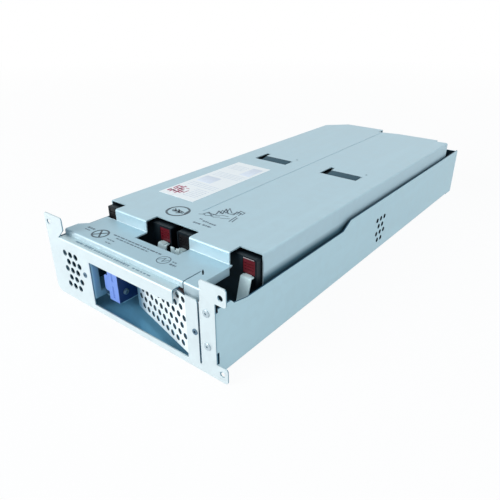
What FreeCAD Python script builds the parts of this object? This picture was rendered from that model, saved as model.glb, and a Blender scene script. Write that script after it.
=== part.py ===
"""Battery cartridge of a rack-mounted uninterruptible power supply.

Eight sealed twelve-volt blocks stand in a folded steel tray, under a stepped steel cover.
The front panel carries the rack ears and the recess of the power connector. A perforated
guard is folded inward beside the recess.

Everything is laid out in a working frame: X across (0 = middle), Y from the front face of
the panel (0) to the back, Z up from the underside of the tray. The parts are moved at the
end, so that the origin is the middle of the underside of the whole box.
Units: millimetres.
"""
import FreeCAD, Part
import math
import os

# ---- Driving dimensions -------------------------------------------------------------
SHEET = 1.2                 # thickness of every folded steel sheet
BEND = 0.6                  # inside radius of its folds

BLOCK_WIDTH = 90.0          # sealed block as it lies: across
BLOCK_DEPTH = 102.0         # deep
BLOCK_HEIGHT = 70.0         # high
BLOCK_GAP = 8.0             # channel between the two columns
PAD_THICK = 5.5             # foam under the blocks
FRONT_BAY = 58.0            # face of the panel to the first terminal faces
ROW_GAP = 9.0               # back of a row to the terminal faces that look at it
MIDDLE_GAP = 1.0            # between the two rows that stand back to back
REAR_TROUGH = 46.0          # last terminal faces to the back of the tray
COVER_AIR = 0.8             # air between the blocks and the cover's sides
TRAY_AIR = 2.8              # air between the cover's sides and the tray's walls

BLOCK_FLOOR = SHEET + PAD_THICK
BLOCK_TOP = BLOCK_FLOOR + BLOCK_HEIGHT
PACK_HALF = BLOCK_GAP / 2 + BLOCK_WIDTH
COVER_HALF = PACK_HALF + COVER_AIR + SHEET   # half of the cover's outside width
TRAY_HALF = COVER_HALF + TRAY_AIR + SHEET    # half of the tray's outside width
FRONT_FACES = (FRONT_BAY, FRONT_BAY + BLOCK_DEPTH + ROW_GAP)      # rows that face the front
FRONT_BACK = FRONT_FACES[1] + BLOCK_DEPTH
REAR_FACES = (FRONT_BACK + MIDDLE_GAP + BLOCK_DEPTH,
              FRONT_BACK + MIDDLE_GAP + 2 * BLOCK_DEPTH + ROW_GAP)  # rows that face the back
TRAY_DEPTH = REAR_FACES[1] + REAR_TROUGH     # front face of the panel to the tray's back
HIGH_DECK = BLOCK_TOP + 3.6    # top of the high deck; every height at the front follows it
LOW_DECK = HIGH_DECK - 11.7    # top of the low deck
LEDGE_Z = HIGH_DECK - 17.1     # top of the ledge that is folded back from the panel
WALL_LOW = HIGH_DECK - 25.4    # top of the side walls beside the front blocks
WALL_HIGH = HIGH_DECK - 17.8   # top of the side walls from the step to the back
BACK_TOP = WALL_HIGH - 1.5     # top of the back wall
WALL_STEP = (191.0, 205.0)  # the sloped step between the two heights
# lug at the front of both walls
FRONT_LUG = [(SHEET, WALL_LOW + 3.6), (3.8, WALL_LOW + 6.3), (19.5, WALL_LOW + 6.7)]
LUG_FOOT = WALL_LOW - 4.9      # where the lug joins the wall
RIGHT_LUG_BACK = [(23.0, WALL_LOW + 2.9), (39.0, WALL_LOW)]
LEFT_LUG_BACK = [(36.0, WALL_HIGH)]
CORNER_NOTCH = (4.0, 12.0, 22.7)   # relief at the front corners: depth, bottom, top
VENT_RADIUS = 2.8           # round vents of the side walls
VENT_ROWS = [(39.1, (271, 280, 289)), (30.8, (276, 285)),
             (22.3, (272, 281, 290)), (13.7, (276, 285))]

EAR_REACH = 12.0            # how far the ears stand out beyond the tray
EAR_HALF = TRAY_HALF + EAR_REACH
EAR_TOP = HIGH_DECK + 3.8   # top of the upper ears
UPPER_EAR_BOTTOM = EAR_TOP - 15.3   # underside of the right upper ear
LOWER_EAR_TOP = 14.0        # top of the right lower ear
STRIP_EDGE = TRAY_HALF + 1.0   # outer edge of the panel between the right ears
EAR_RADIUS = 2.5            # corner radius of the ears
LEFT_FOOT_RADIUS = 8.0      # corner radius of the left ear at its foot
EAR_HOLE_X = TRAY_HALF + 6.6
EAR_HOLE_RADIUS = 2.6
UPPER_HOLE_Z = EAR_TOP - 8.6
LOWER_HOLE_Z = 7.6
RIGHT_EAR_INNER = TRAY_HALF - 13.5  # inner edge of the right upper ear
LEFT_EAR_INNER = 15.0 - TRAY_HALF   # inner edge of the left upper ear
LEFT_EAR_FOOT = 6.2 - TRAY_HALF     # where that edge meets the ledge, after a slope
LEFT_EAR_SLOPE = EAR_TOP - 12.1     # height where the slope begins
EAR_RELIEF_RADIUS = 1.2

SLIT = (TRAY_HALF - 16.4, TRAY_HALF - 14.4)   # the slit that parts the right ear from the column
SLIT_BOTTOM = 6.9
COLUMN_TOP = LEDGE_Z + 1.3  # top of the column that carries the guard

OPENING_LEFT = 49.3 - TRAY_HALF   # left edge of the recess opening
RETURN_DEPTH = 8.5          # depth of the lit return at that edge
OPENING_BOTTOM = 5.9
OPENING_TOP = LEDGE_Z - 12.4
HIGH_OPENING = TRAY_HALF - 43.0   # from here to the column the opening runs out at the top
LEDGE_DEPTH = 8.5

COLUMN_LEFT = TRAY_HALF - 29.0   # right edge of the opening
GUARD_FOLD = COLUMN_LEFT + 1.0   # fold line of the perforated guard, behind the column
GUARD_ANGLE = 13.9          # degrees that the guard is folded inward
CONNECTOR_X = (OPENING_LEFT + 12.1, OPENING_LEFT + 25.7)
GUARD_LENGTH = GUARD_FOLD - CONNECTOR_X[1] - 7.0   # it ends short of the connector
GUARD_Z = (8.0, COLUMN_TOP - 2.5)
GUARD_PITCH = (8.45, 8.6)   # pitch of its holes along it and up it
GUARD_FIRST = (6.2, 14.2)   # nearest hole to the fold, and height of the lowest row
GUARD_ROWS = 6
GUARD_HOLE_RADIUS = 2.7

VENT_PITCH = 8.3            # pitch of the round vents at the left of the panel
PANEL_VENT_RADIUS = 3.1
PANEL_VENT_X = 12.2 - TRAY_HALF
PANEL_VENT_ROWS = [(48.8, 0.0), (40.6, 0.5), (32.4, 0.0), (23.9, 0.5), (15.5, 0.0)]

COVER_FRONT = LEDGE_DEPTH   # front face of the cover's front flange
COVER_LIP_BOTTOM = LEDGE_Z - 5.7   # foot of the front lip, right of the slit
COVER_LIP_REST = LEDGE_Z - 0.8     # foot of the front lip where it meets the ledge
RISER_Y = 50.4              # front face of the riser between the decks
COVER_SIDE_BOTTOM = HIGH_DECK - 36.3
COVER_BACK_LEFT = REAR_FACES[1] + 23.0   # the back edge left of its step
COVER_BACK_RIGHT = REAR_FACES[1] + 13.0  # and right of it
COVER_BACK_STEP = 7.0       # further step forward at the middle and at the right corner
COVER_STEP_X = -9.0         # where the back edge steps
COVER_CORNER_CUT = 28.0     # sloped left back corner
COVER_NUB = (3.0, 5.0)      # folded nubs of the back edge: across, down
NUB_X = (COVER_STEP_X, COVER_HALF - 20.0)   # their left edges
LOW_DECK_LEFT = 1.0 - COVER_HALF
LOW_DECK_RIGHT = TRAY_HALF - 25.5
TERMINAL_CUT_BACK = 64.4    # back edge of the three terminal cut-outs
CENTRE_CUT = (-28.0, 27.0)
CENTRE_CUT_FRONT = 36.5
LEFT_CUT_HIGH = 24.0 - COVER_HALF   # inner edge of the left cut-out in the high deck
LEFT_CUT_LOW = 9.0 - COVER_HALF     # and in the low deck
LEFT_CUT_FRONT = 23.0
LEFT_CUT_SLOPE = 31.0       # where its front edge meets its side
RIGHT_CUT = TRAY_HALF - 28.0
DECK_SLIT = (HIGH_OPENING + 3.5, HIGH_OPENING + 4.7)   # T-ended slit of the low deck
DECK_SLIT_BACK = 28.6
SLIT_END = [(-0.7, 31.0), (0.3, 32.0), (6.1, 26.2), (5.1, 25.2)]   # its T end, from its left edge
SEAM_X = -3.0               # pressed line along the high deck
SEAM_START = 100.0

LID_DEPTH = 14.0            # the lid behind the terminal face
LID_GROOVE = 0.6
BLOCK_RADIUS = 2.0
TERMINAL_INSET = 8.0        # from the sides of the block to the middle of a terminal
BOOT = (12.5, 13.2, 3.4)    # insulating insert of a terminal: across, high, deep
BOOT_TOP = BLOCK_TOP - 2.0
BOOT_FOOT = BOOT_TOP - BOOT[1]
BOOT_RECESS = 0.5           # how far the insert lies behind the terminal face
PLEAT = (1.0, 0.9)          # grooves of the insert: high, deep
BLADE = (6.3, 0.8, 4.6)     # terminal blade: wide, thick, out of the face
BLADE_FOOT = BOOT_FOOT - BLADE[1]
STRAP_WIDTH = 11.0
STRAP_THICK = 1.0
STRAP_REACH = 11.0          # how far forward of the blocks the straps come
STRAP_TAB = 4.2             # flat of a positive strap under its blade
STRAP_KNEE = 35.0           # height where its slope ends
STRAP_BOTTOM = 18.0
STRAP_TOP = BLADE_FOOT + 5.3   # top of the negative straps
STRAP_NOTCH = (2.4, 3.0)    # notch between the two lobes of that top: wide, deep
BAR = (27.0, 35.0)          # foot and top of the bar between the inner straps
JUMPER_HEIGHT = 9.0

KEY_X = OPENING_LEFT + 6.9  # left face of the housing's key
KEY_RISE = (8.5, 25.0)      # foot and top of the key above the housing's foot
KEY_RADIUS = 3.0
CONNECTOR_Y = (9.0, 33.0)
CONNECTOR_Z = (13.0, 49.0)
CONTACT_RISE = (9.5, 26.5)  # heights of the two contacts above the housing's foot
CAVITY = (2.2, 12.0, 14.0)  # contact slot: across, high, deep
CONTACT = (1.4, 9.0, 1.2)   # contact: thick, high, behind the mating face
LEAD_RADIUS = 2.6
LEAD_END_Y = FRONT_BAY - STRAP_REACH - LEAD_RADIUS   # where a lead lies on its strap
LEAD_Y = LEAD_END_Y - 1.4   # the run of the leads in front of the straps
LEAD_Z = 22.0
LEAD_BEND = (22.0, 8.0, 4.0)   # distances from the strap's middle where a lead turns, lands, ends
SCREW_RADIUS = 1.5
SCREW_Y = 28.8              # the long screws that hold the housing
SCREW_RISE = 3.9            # from the housing's foot and top to their middles
SCREW_GRIP = 7.0            # length of a long screw inside the housing
SCREW_HEAD = (2.9, 1.9)     # radius and height of a pan head
NUT = (3.1, 2.4)            # radius over the corners and height of a nut
SPACER_RADIUS = 2.4
SIDE_SCREW_Y = 17.0         # the short screws in its right side
SIDE_SCREW_LENGTH = 2.6
BRACKET_BACK = 36.0
BRACKET_WINDOW = ((RETURN_DEPTH, 25.0), (18.0, 50.0))   # window of the recess's left wall: Y, Z

RIVET_HEAD_RADIUS = 3.25
RIVET_HEAD = 1.0
RIVET_RADIUS = 1.6
RIVET_Z = (27.2, LEDGE_Z - 6.0)
RIVET_X = TRAY_HALF - 7.4
FLANGE = 12.4               # width of the front flanges of the side walls
STUD_LENGTH = 7.0
STUDS = [(OPENING_LEFT - 8.8, 34.8), (COLUMN_LEFT + 9.0, 35.2)]
HOLE_CLEARANCE = 0.1        # on the radius, round every shank
SEAT = 0.3                  # air that is left between soft pieces and their neighbours

LABEL = (20.0 - COVER_HALF, 69.0 - COVER_HALF, 110.0, 241.0)
LABEL_THICK = 0.15

WINDOW_LEFTS = (22.5 - PACK_HALF, BLOCK_GAP / 2 + 19.5)   # left edges of the two windows of the high deck
WINDOW_FRONT = FRONT_BACK - 3.0
WINDOW = (46.5, 17.0)       # across, deep
WINDOW_LEG = (6.0, 27.5)    # the leg at its left: across, deep
TONGUE_REACH = 14.0         # tongue that is folded down from its back edge onto the blocks
COMPANION = (26.0, 1.4)     # small round hole: distance behind the window's front, radius

SHIFT_Y = -(TRAY_DEPTH - RIVET_HEAD) / 2

V = FreeCAD.Vector


# ---- Drawing helpers ----------------------------------------------------------------
def box(x, y, z):
    """A box from three (low, high) pairs."""
    return Part.makeBox(x[1] - x[0], y[1] - y[0], z[1] - z[0], V(x[0], y[0], z[0]))


def rod(start, end, radius):
    """A cylinder between two points."""
    axis = end - start
    return Part.makeCylinder(radius, axis.Length, start, axis)


def in_plane(normal, u, v, level):
    """The point (u, v) of the plane whose normal is X, Y or Z, at a level along it."""
    if normal == "X":
        return V(level, u, v)
    if normal == "Y":
        return V(u, level, v)
    return V(u, v, level)


def corner_arc(before, corner, after, radius):
    """Start, middle and end of the arc that rounds one corner of an outline."""
    first = (before - corner).normalize()
    second = (after - corner).normalize()
    half = first.getAngle(second) / 2
    reach = radius / math.tan(half)
    centre = corner + (first + second).normalize() * (radius / math.sin(half))
    middle = centre + (corner - centre).normalize() * radius
    return corner + first * reach, middle, corner + second * reach


def outline(corners, normal, level):
    """A closed wire through corners (u, v) or (u, v, radius)."""
    points = [in_plane(normal, c[0], c[1], level) for c in corners]
    radii = [c[2] if len(c) > 2 else 0 for c in corners]
    runs = []
    arcs = []
    for i, corner in enumerate(points):
        if radii[i] > 0:
            start, middle, end = corner_arc(points[i - 1], corner, points[(i + 1) % len(points)], radii[i])
            arcs.append(Part.Arc(start, middle, end).toShape())
            runs.append((start, end))
        else:
            arcs.append(None)
            runs.append((corner, corner))
    edges = []
    for i, (start, end) in enumerate(runs):
        if arcs[i] is not None:
            edges.append(arcs[i])
        following = runs[(i + 1) % len(runs)][0]
        if (following - end).Length > 1e-6:
            edges.append(Part.LineSegment(end, following).toShape())
    return Part.Wire(edges)


def prism(corners, normal, span):
    """The outline's area, filled from one level to the other along its normal."""
    face = Part.Face(outline(corners, normal, span[0]))
    return face.extrude(in_plane(normal, 0, 0, span[1] - span[0]))


def sheet_section(line, thick, bend=BEND):
    """Corners of a folded sheet's section. One face follows the line, and the sheet lies
    on its left, or on its right if the thickness is negative."""
    normals = []
    for (u0, v0), (u1, v1) in zip(line, line[1:]):
        length = math.hypot(u1 - u0, v1 - v0)
        normals.append((-(v1 - v0) / length, (u1 - u0) / length))
    here = []
    there = []
    for i, (u, v) in enumerate(line):
        a = normals[max(i - 1, 0)]
        b = normals[min(i, len(normals) - 1)]
        share = thick / (1 + a[0] * b[0] + a[1] * b[1])
        turn = (a[0] * b[1] - a[1] * b[0]) * thick
        inner = bend if abs(turn) > 1e-9 else 0
        outer = bend + abs(thick) if inner else 0
        near, far = (outer, inner) if turn > 0 else (inner, outer)
        here.append((u, v, near))
        there.append((u + (a[0] + b[0]) * share, v + (a[1] + b[1]) * share, far))
    return here + there[::-1]


def folded(line, thick, normal, span, bend=BEND):
    """A folded sheet: its section, drawn in one plane, carried along that plane's normal."""
    return prism(sheet_section(line, thick, bend), normal, span)


def drill(points, radius, normal, span):
    """Round holes at (u, v) points, from one level to the other along a normal."""
    axis = in_plane(normal, 0, 0, 1)
    depth = span[1] - span[0]
    holes = [Part.makeCylinder(radius, depth, in_plane(normal, u, v, span[0]), axis) for u, v in points]
    return Part.makeCompound(holes)


def mirrored(shape):
    """The shape's twin on the other side of the middle."""
    return shape.mirror(V(0, 0, 0), V(1, 0, 0))


def lead(points, radius):
    """A round lead along straight runs that tangent arcs join."""
    edges = []
    last = points[0]
    for before, corner, after in zip(points, points[1:], points[2:]):
        shorter = min((corner - before).Length, (after - corner).Length)
        turn = (corner - before).getAngle(after - corner)
        bend = 0.45 * shorter / math.tan(turn / 2)
        start, middle, end = corner_arc(before, corner, after, bend)
        edges.append(Part.LineSegment(last, start).toShape())
        edges.append(Part.Arc(start, middle, end).toShape())
        last = end
    edges.append(Part.LineSegment(last, points[-1]).toShape())
    path = Part.Wire(edges)
    section = Part.Wire([Part.makeCircle(radius, points[0], points[1] - points[0])])
    return path.makePipeShell([section], True, False)


# ---- Sheet metal --------------------------------------------------------------------
def wall_trim(lug_back, span):
    """What is cut off above one side wall, drawn from the side."""
    line = FRONT_LUG + lug_back + [(TRAY_DEPTH, WALL_HIGH), (TRAY_DEPTH, EAR_TOP), (SHEET, EAR_TOP)]
    return prism(line, "X", span)


def lug(lug_back):
    """The right side wall's raised front end, which closes the corner above its flange."""
    line = FRONT_LUG + lug_back[:1] + [(lug_back[0][0], LUG_FOOT), (SHEET, LUG_FOOT)]
    return prism(line, "X", (TRAY_HALF - SHEET, TRAY_HALF))


def front_flange():
    """The right side wall's front edge, folded inward behind the panel. Drawn from above."""
    line = [(TRAY_HALF - FLANGE, SHEET), (TRAY_HALF, SHEET), (TRAY_HALF, CORNER_NOTCH[0] + BEND)]
    return folded(line, SHEET, "Z", (CORNER_NOTCH[2], FRONT_LUG[0][1]))


def tray():
    """Floor, side walls with their front flanges, and back wall."""
    high = WALL_HIGH + 1
    walls = [(-TRAY_HALF, high), (-TRAY_HALF, 0), (TRAY_HALF, 0), (TRAY_HALF, high)]
    body = folded(walls, SHEET, "Y", (SHEET, TRAY_DEPTH - SHEET))
    right_back = RIGHT_LUG_BACK + [(WALL_STEP[0], WALL_LOW), (WALL_STEP[1], WALL_HIGH)]
    beyond = TRAY_HALF + 1
    body = body.cut([wall_trim(right_back, (0, beyond)), wall_trim(LEFT_LUG_BACK, (-beyond, 0))])
    corner = (TRAY_HALF - SHEET - 1, beyond)
    relief = box(corner, (0, CORNER_NOTCH[0] + BEND), (CORNER_NOTCH[1], EAR_TOP))
    body = body.cut([relief, mirrored(relief)])
    flange = front_flange()
    back = folded([(TRAY_DEPTH - 20, 0), (TRAY_DEPTH, 0), (TRAY_DEPTH, BACK_TOP)], SHEET, "X",
                  (-TRAY_HALF, TRAY_HALF))
    body = body.fuse([flange, mirrored(flange), back]).removeSplitter()
    clear = box(corner, (0, CORNER_NOTCH[0] + BEND), (0, EAR_TOP))
    right_lug = lug(RIGHT_LUG_BACK).cut(clear)
    left_lug = mirrored(lug(LEFT_LUG_BACK).cut(clear))
    body = body.fuse([right_lug, left_lug]).removeSplitter()
    vents = [(y, z) for z, row in VENT_ROWS for y in row]
    body = body.cut(drill(vents, VENT_RADIUS, "X", (-beyond, beyond)))
    return body.cut(rivet_holes())


def rivet_points():
    """Middles of the rivets, seen from the front."""
    return [(RIVET_X, z) for z in RIVET_Z]


def rivet_holes():
    return drill(rivet_points(), RIVET_RADIUS + HOLE_CLEARANCE, "Y", (-1, 2 * SHEET + 1))


def panel_plate():
    """The flat of the front panel, without its ledge and its holes."""
    strip_top = LEDGE_Z - 3
    corners = [
        (-EAR_HALF, 0, LEFT_FOOT_RADIUS), (EAR_HALF, 0, EAR_RADIUS),
        (EAR_HALF, LOWER_EAR_TOP, EAR_RADIUS), (STRIP_EDGE, LOWER_EAR_TOP),
        (STRIP_EDGE, UPPER_EAR_BOTTOM), (EAR_HALF, UPPER_EAR_BOTTOM, EAR_RADIUS),
        (EAR_HALF, EAR_TOP, EAR_RADIUS), (RIGHT_EAR_INNER, EAR_TOP, EAR_RADIUS),
        (RIGHT_EAR_INNER, COLUMN_TOP + 2), (SLIT[1], COLUMN_TOP), (SLIT[1], SLIT_BOTTOM),
        (SLIT[0], SLIT_BOTTOM), (SLIT[0], COLUMN_TOP, EAR_RADIUS), (COLUMN_LEFT, COLUMN_TOP),
        (COLUMN_LEFT, OPENING_BOTTOM), (OPENING_LEFT, OPENING_BOTTOM), (OPENING_LEFT, OPENING_TOP),
        (HIGH_OPENING, OPENING_TOP), (HIGH_OPENING, strip_top), (LEFT_EAR_FOOT, strip_top),
        (LEFT_EAR_FOOT, LEDGE_Z), (LEFT_EAR_INNER, LEFT_EAR_SLOPE),
        (LEFT_EAR_INNER, EAR_TOP, EAR_RADIUS), (-EAR_HALF, EAR_TOP, EAR_RADIUS),
    ]
    return prism(corners, "Y", (0, SHEET))


def guard_holes():
    """(distance from the fold, height) of every hole, in staggered rows."""
    points = []
    for row in range(GUARD_ROWS):
        distance = GUARD_FIRST[0] + (GUARD_PITCH[0] / 2 if row % 2 == 0 else 0)
        while distance < GUARD_LENGTH - GUARD_HOLE_RADIUS - 1:
            points.append((distance, GUARD_FIRST[1] + row * GUARD_PITCH[1]))
            distance += GUARD_PITCH[0]
    return points


def connector_guard():
    """Perforated sheet: a flange behind the column, folded inward beside the recess."""
    slope = math.radians(GUARD_ANGLE)
    along = V(-math.cos(slope), math.sin(slope), 0)
    back = V(math.sin(slope), math.cos(slope), 0)
    tip = V(GUARD_FOLD, SHEET, 0) + along * GUARD_LENGTH
    line = [(SLIT[0] - 1, SHEET), (GUARD_FOLD, SHEET), (tip.x, tip.y)]
    sheet = folded(line, -SHEET, "Z", GUARD_Z)
    holes = []
    for distance, height in guard_holes():
        middle = V(GUARD_FOLD, SHEET, height) + along * distance
        holes.append(rod(middle - back * 2, middle + back * 3, GUARD_HOLE_RADIUS))
    sheet = sheet.cut(Part.makeCompound(holes))
    return sheet.cut(drill(STUDS[1:], SCREW_RADIUS + HOLE_CLEARANCE, "Y", (0, 3 * SHEET)))


def panel_vents():
    """Middles of the fifteen vents left of the opening."""
    return [(PANEL_VENT_X + (column + shift) * VENT_PITCH, z)
            for z, shift in PANEL_VENT_ROWS for column in range(3)]


def front_panel():
    """Panel with rack ears, ledge, opening and vents."""
    ledge = folded([(0, LEDGE_Z - 3), (0, LEDGE_Z), (LEDGE_DEPTH, LEDGE_Z)], -SHEET, "X",
                   (LEFT_EAR_FOOT, HIGH_OPENING))
    body = panel_plate().fuse(ledge).removeSplitter()
    through = (-1, SHEET + 1)
    body = body.cut(drill(panel_vents(), PANEL_VENT_RADIUS, "Y", through))
    ear_holes = [(EAR_HOLE_X, UPPER_HOLE_Z), (-EAR_HOLE_X, UPPER_HOLE_Z), (EAR_HOLE_X, LOWER_HOLE_Z)]
    body = body.cut(drill(ear_holes, EAR_HOLE_RADIUS, "Y", through))
    body = body.cut(drill([(RIGHT_EAR_INNER, UPPER_HOLE_Z)], EAR_RELIEF_RADIUS, "Y", through))
    body = body.cut(drill(STUDS, SCREW_RADIUS + HOLE_CLEARANCE, "Y", through))
    return body.cut(rivet_holes())


def cover_front():
    """Front lip, low deck, riser and the start of the high deck."""
    line = [(COVER_FRONT, COVER_LIP_BOTTOM), (COVER_FRONT, LOW_DECK), (RISER_Y, LOW_DECK),
            (RISER_Y, HIGH_DECK), (TERMINAL_CUT_BACK + 2, HIGH_DECK)]
    body = folded(line, -SHEET, "X", (LOW_DECK_LEFT, SLIT[1] - 1))
    under = COVER_LIP_BOTTOM - 1
    over = HIGH_DECK + 1
    riser = (LOW_DECK + 0.1, over)
    behind = (RISER_Y - 0.1, TERMINAL_CUT_BACK + 3)
    cuts = [
        box((LOW_DECK_RIGHT, SLIT[1]), (COVER_FRONT + SHEET + BEND, TERMINAL_CUT_BACK + 5.6), (under, over)),
        box(CENTRE_CUT, (CENTRE_CUT_FRONT, TERMINAL_CUT_BACK), (under, over)),
        box((LOW_DECK_LEFT - 1, LEFT_CUT_HIGH), behind, (under, over)),
        box((RIGHT_CUT, SLIT[1]), behind, riser),
        prism([(LOW_DECK_LEFT - 1, LEFT_CUT_FRONT), (LOW_DECK_LEFT, LEFT_CUT_FRONT),
               (LEFT_CUT_LOW, LEFT_CUT_SLOPE), (LEFT_CUT_LOW, RISER_Y + 9.6),
               (LOW_DECK_LEFT - 1, RISER_Y + 9.6)], "Z", (under, over)),
        box(DECK_SLIT, (0, DECK_SLIT_BACK), (under, over)),
        box((LOW_DECK_LEFT - 1, DECK_SLIT[0]), (COVER_FRONT - 1, COVER_FRONT + 3), (under, COVER_LIP_REST)),
        prism([(DECK_SLIT[0] + x, y) for x, y in SLIT_END], "Z", (under, over)),
    ]
    return body.cut(cuts)


def deck_edge():
    """The right edge of the low deck, folded down."""
    line = [(LOW_DECK_RIGHT - 6, LOW_DECK), (LOW_DECK_RIGHT, LOW_DECK), (LOW_DECK_RIGHT, LOW_DECK - 7.5)]
    return folded(line, -SHEET, "Y", (14.0, RISER_Y - 3))


def window(left):
    """One L-shaped window of the high deck with its small round companion."""
    low = HIGH_DECK - SHEET - 1
    high = HIGH_DECK + 1
    right = left + WINDOW[0]
    front = WINDOW_FRONT
    corners = [(left, front), (right, front), (right, front + WINDOW[1]),
               (left + WINDOW_LEG[0], front + WINDOW[1]), (left + WINDOW_LEG[0], front + WINDOW_LEG[1]),
               (left, front + WINDOW_LEG[1])]
    spot = V(right, front + COMPANION[0], low)
    return [prism(corners, "Z", (low, high)), rod(spot, V(spot.x, spot.y, high), COMPANION[1])]


def tongue(left):
    """The tongue that is folded down from a window's back edge and holds the blocks."""
    root = WINDOW_FRONT + WINDOW[1]
    tip = root - TONGUE_REACH
    corners = [(root, HIGH_DECK), (root, HIGH_DECK - SHEET), (tip, BLOCK_TOP), (tip, BLOCK_TOP + SHEET)]
    return prism(corners, "X", (left + WINDOW_LEG[0] + SHEET, left + WINDOW[0] - SHEET))


def cover_back_cuts():
    """What shapes the back edge of the cover: its step, its corners and its middle."""
    far = COVER_BACK_LEFT + 1
    span = (0, EAR_TOP)
    middle = COVER_BACK_RIGHT - COVER_BACK_STEP
    edge = COVER_HALF + 1
    right = prism([(COVER_STEP_X, far), (COVER_STEP_X, middle), (COVER_STEP_X + 30, COVER_BACK_RIGHT),
                   (NUB_X[1] + COVER_NUB[0], COVER_BACK_RIGHT), (NUB_X[1] + COVER_NUB[0], middle),
                   (edge, middle), (edge, far)], "Z", span)
    left = prism([(-edge, COVER_BACK_LEFT - COVER_CORNER_CUT),
                  (-COVER_HALF, COVER_BACK_LEFT - COVER_CORNER_CUT),
                  (-COVER_HALF + COVER_CORNER_CUT, COVER_BACK_LEFT), (-COVER_HALF + COVER_CORNER_CUT, far),
                  (-edge, far)], "Z", (HIGH_DECK - 2 * SHEET, EAR_TOP))
    behind = box((-edge, 0), (COVER_BACK_LEFT - COVER_CORNER_CUT, far), (0, HIGH_DECK - 2 * SHEET))
    return [right, left, behind]


def nub(left, back):
    """A small nub of the cover's back edge, folded down."""
    return box((left, left + COVER_NUB[0]), (back - SHEET, back), (HIGH_DECK - COVER_NUB[1], HIGH_DECK))


def top_cover():
    """The stepped cover, folded down at both sides inside the tray."""
    line = [(-COVER_HALF, COVER_SIDE_BOTTOM), (-COVER_HALF, HIGH_DECK), (COVER_HALF, HIGH_DECK),
            (COVER_HALF, COVER_SIDE_BOTTOM)]
    body = folded(line, -SHEET, "Y", (TERMINAL_CUT_BACK, COVER_BACK_LEFT), bend=1.0)
    seam = box((SEAM_X - 0.5, SEAM_X + 0.5), (SEAM_START, COVER_BACK_LEFT), (HIGH_DECK - 0.35, EAR_TOP))
    cuts = cover_back_cuts() + [seam]
    for left in WINDOW_LEFTS:
        cuts += window(left)
    body = body.cut(cuts)
    pieces = [cover_front(), deck_edge()] + [tongue(left) for left in WINDOW_LEFTS]
    pieces += [nub(NUB_X[0] - COVER_NUB[0], COVER_BACK_LEFT), nub(NUB_X[1], COVER_BACK_RIGHT)]
    return body.fuse(pieces).removeSplitter()


# ---- Sealed blocks and their terminals ----------------------------------------------
def column_span(column):
    """The X range of a column: -1 is the left one, 1 the right one."""
    inner = BLOCK_GAP / 2
    return (inner, PACK_HALF) if column > 0 else (-PACK_HALF, -inner)


def sealed_block(column, face, outward):
    """A sealed block that lies on its side, terminal face to the front (-1) or back (1)."""
    across = column_span(column)
    back = face - outward * BLOCK_DEPTH
    body = box(across, (min(face, back), max(face, back)), (BLOCK_FLOOR, BLOCK_TOP))
    long_edges = [e for e in body.Edges if abs(e.tangentAt(e.FirstParameter).y) > 0.9]
    body = body.makeFillet(BLOCK_RADIUS, long_edges)
    joint = face - outward * LID_DEPTH
    band = (joint - LID_GROOVE, joint + LID_GROOVE)
    high = (BLOCK_FLOOR, BLOCK_TOP)
    core = box((across[0] + LID_GROOVE, across[1] - LID_GROOVE), band,
               (high[0] + LID_GROOVE, high[1] - LID_GROOVE))
    cuts = [box(across, band, high).cut(core)]
    for x in (across[0] + TERMINAL_INSET, across[1] - TERMINAL_INSET):
        cuts.append(box((x - BOOT[0] / 2, x + BOOT[0] / 2), reach(face, outward, -BOOT[2], 1),
                        (BOOT_FOOT, BOOT_TOP)))
    return body.cut(cuts)


def terminals(polarity):
    """(x, face, outward) of every terminal of one polarity: 1 positive, -1 negative."""
    found = []
    for faces, outward in ((FRONT_FACES, -1), (REAR_FACES, 1)):
        for face in faces:
            for column in (-1, 1):
                side = column_span(column)
                right = polarity * -outward > 0
                x = side[1] - TERMINAL_INSET if right else side[0] + TERMINAL_INSET
                found.append((x, face, outward))
    return found


def reach(face, outward, near, far):
    """The (low, high) Y range between two distances out of a terminal face."""
    ends = (face + outward * near, face + outward * far)
    return min(ends), max(ends)


def boots(polarity):
    """The pleated inserts of one polarity, each in the pocket of its terminal."""
    shapes = []
    for x, face, outward in terminals(polarity):
        across = (x - BOOT[0] / 2, x + BOOT[0] / 2)
        body = box(across, reach(face, outward, -BOOT[2], -BOOT_RECESS), (BOOT_FOOT, BOOT_TOP))
        pleats = []
        for share in (0.3, 0.5, 0.7):
            foot = BOOT_FOOT + share * BOOT[1] - PLEAT[0] / 2
            pleats.append(box((across[0] + 1.5, across[1] - 1.5),
                              reach(face, outward, -BOOT_RECESS - PLEAT[1], 0), (foot, foot + PLEAT[0])))
        shapes.append(body.cut(pleats))
    return Part.makeCompound(shapes)


def blades():
    """The flat blades, one under every insert."""
    shapes = []
    for x, face, outward in terminals(1) + terminals(-1):
        shapes.append(box((x - BLADE[0] / 2, x + BLADE[0] / 2), reach(face, outward, 0, BLADE[2]),
                          (BLADE_FOOT, BOOT_FOOT)))
    return Part.makeCompound(shapes)


def positive_strap(x):
    """A tinned strap that leaves the blade of a positive terminal, forward and down."""
    leg = FRONT_BAY - STRAP_REACH
    knee = FRONT_BAY - STRAP_TAB
    line = [(FRONT_BAY, BLADE_FOOT), (knee, BLADE_FOOT), (leg, STRAP_KNEE), (leg, STRAP_BOTTOM)]
    return folded(line, STRAP_THICK, "X", (x - STRAP_WIDTH / 2, x + STRAP_WIDTH / 2))


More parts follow.
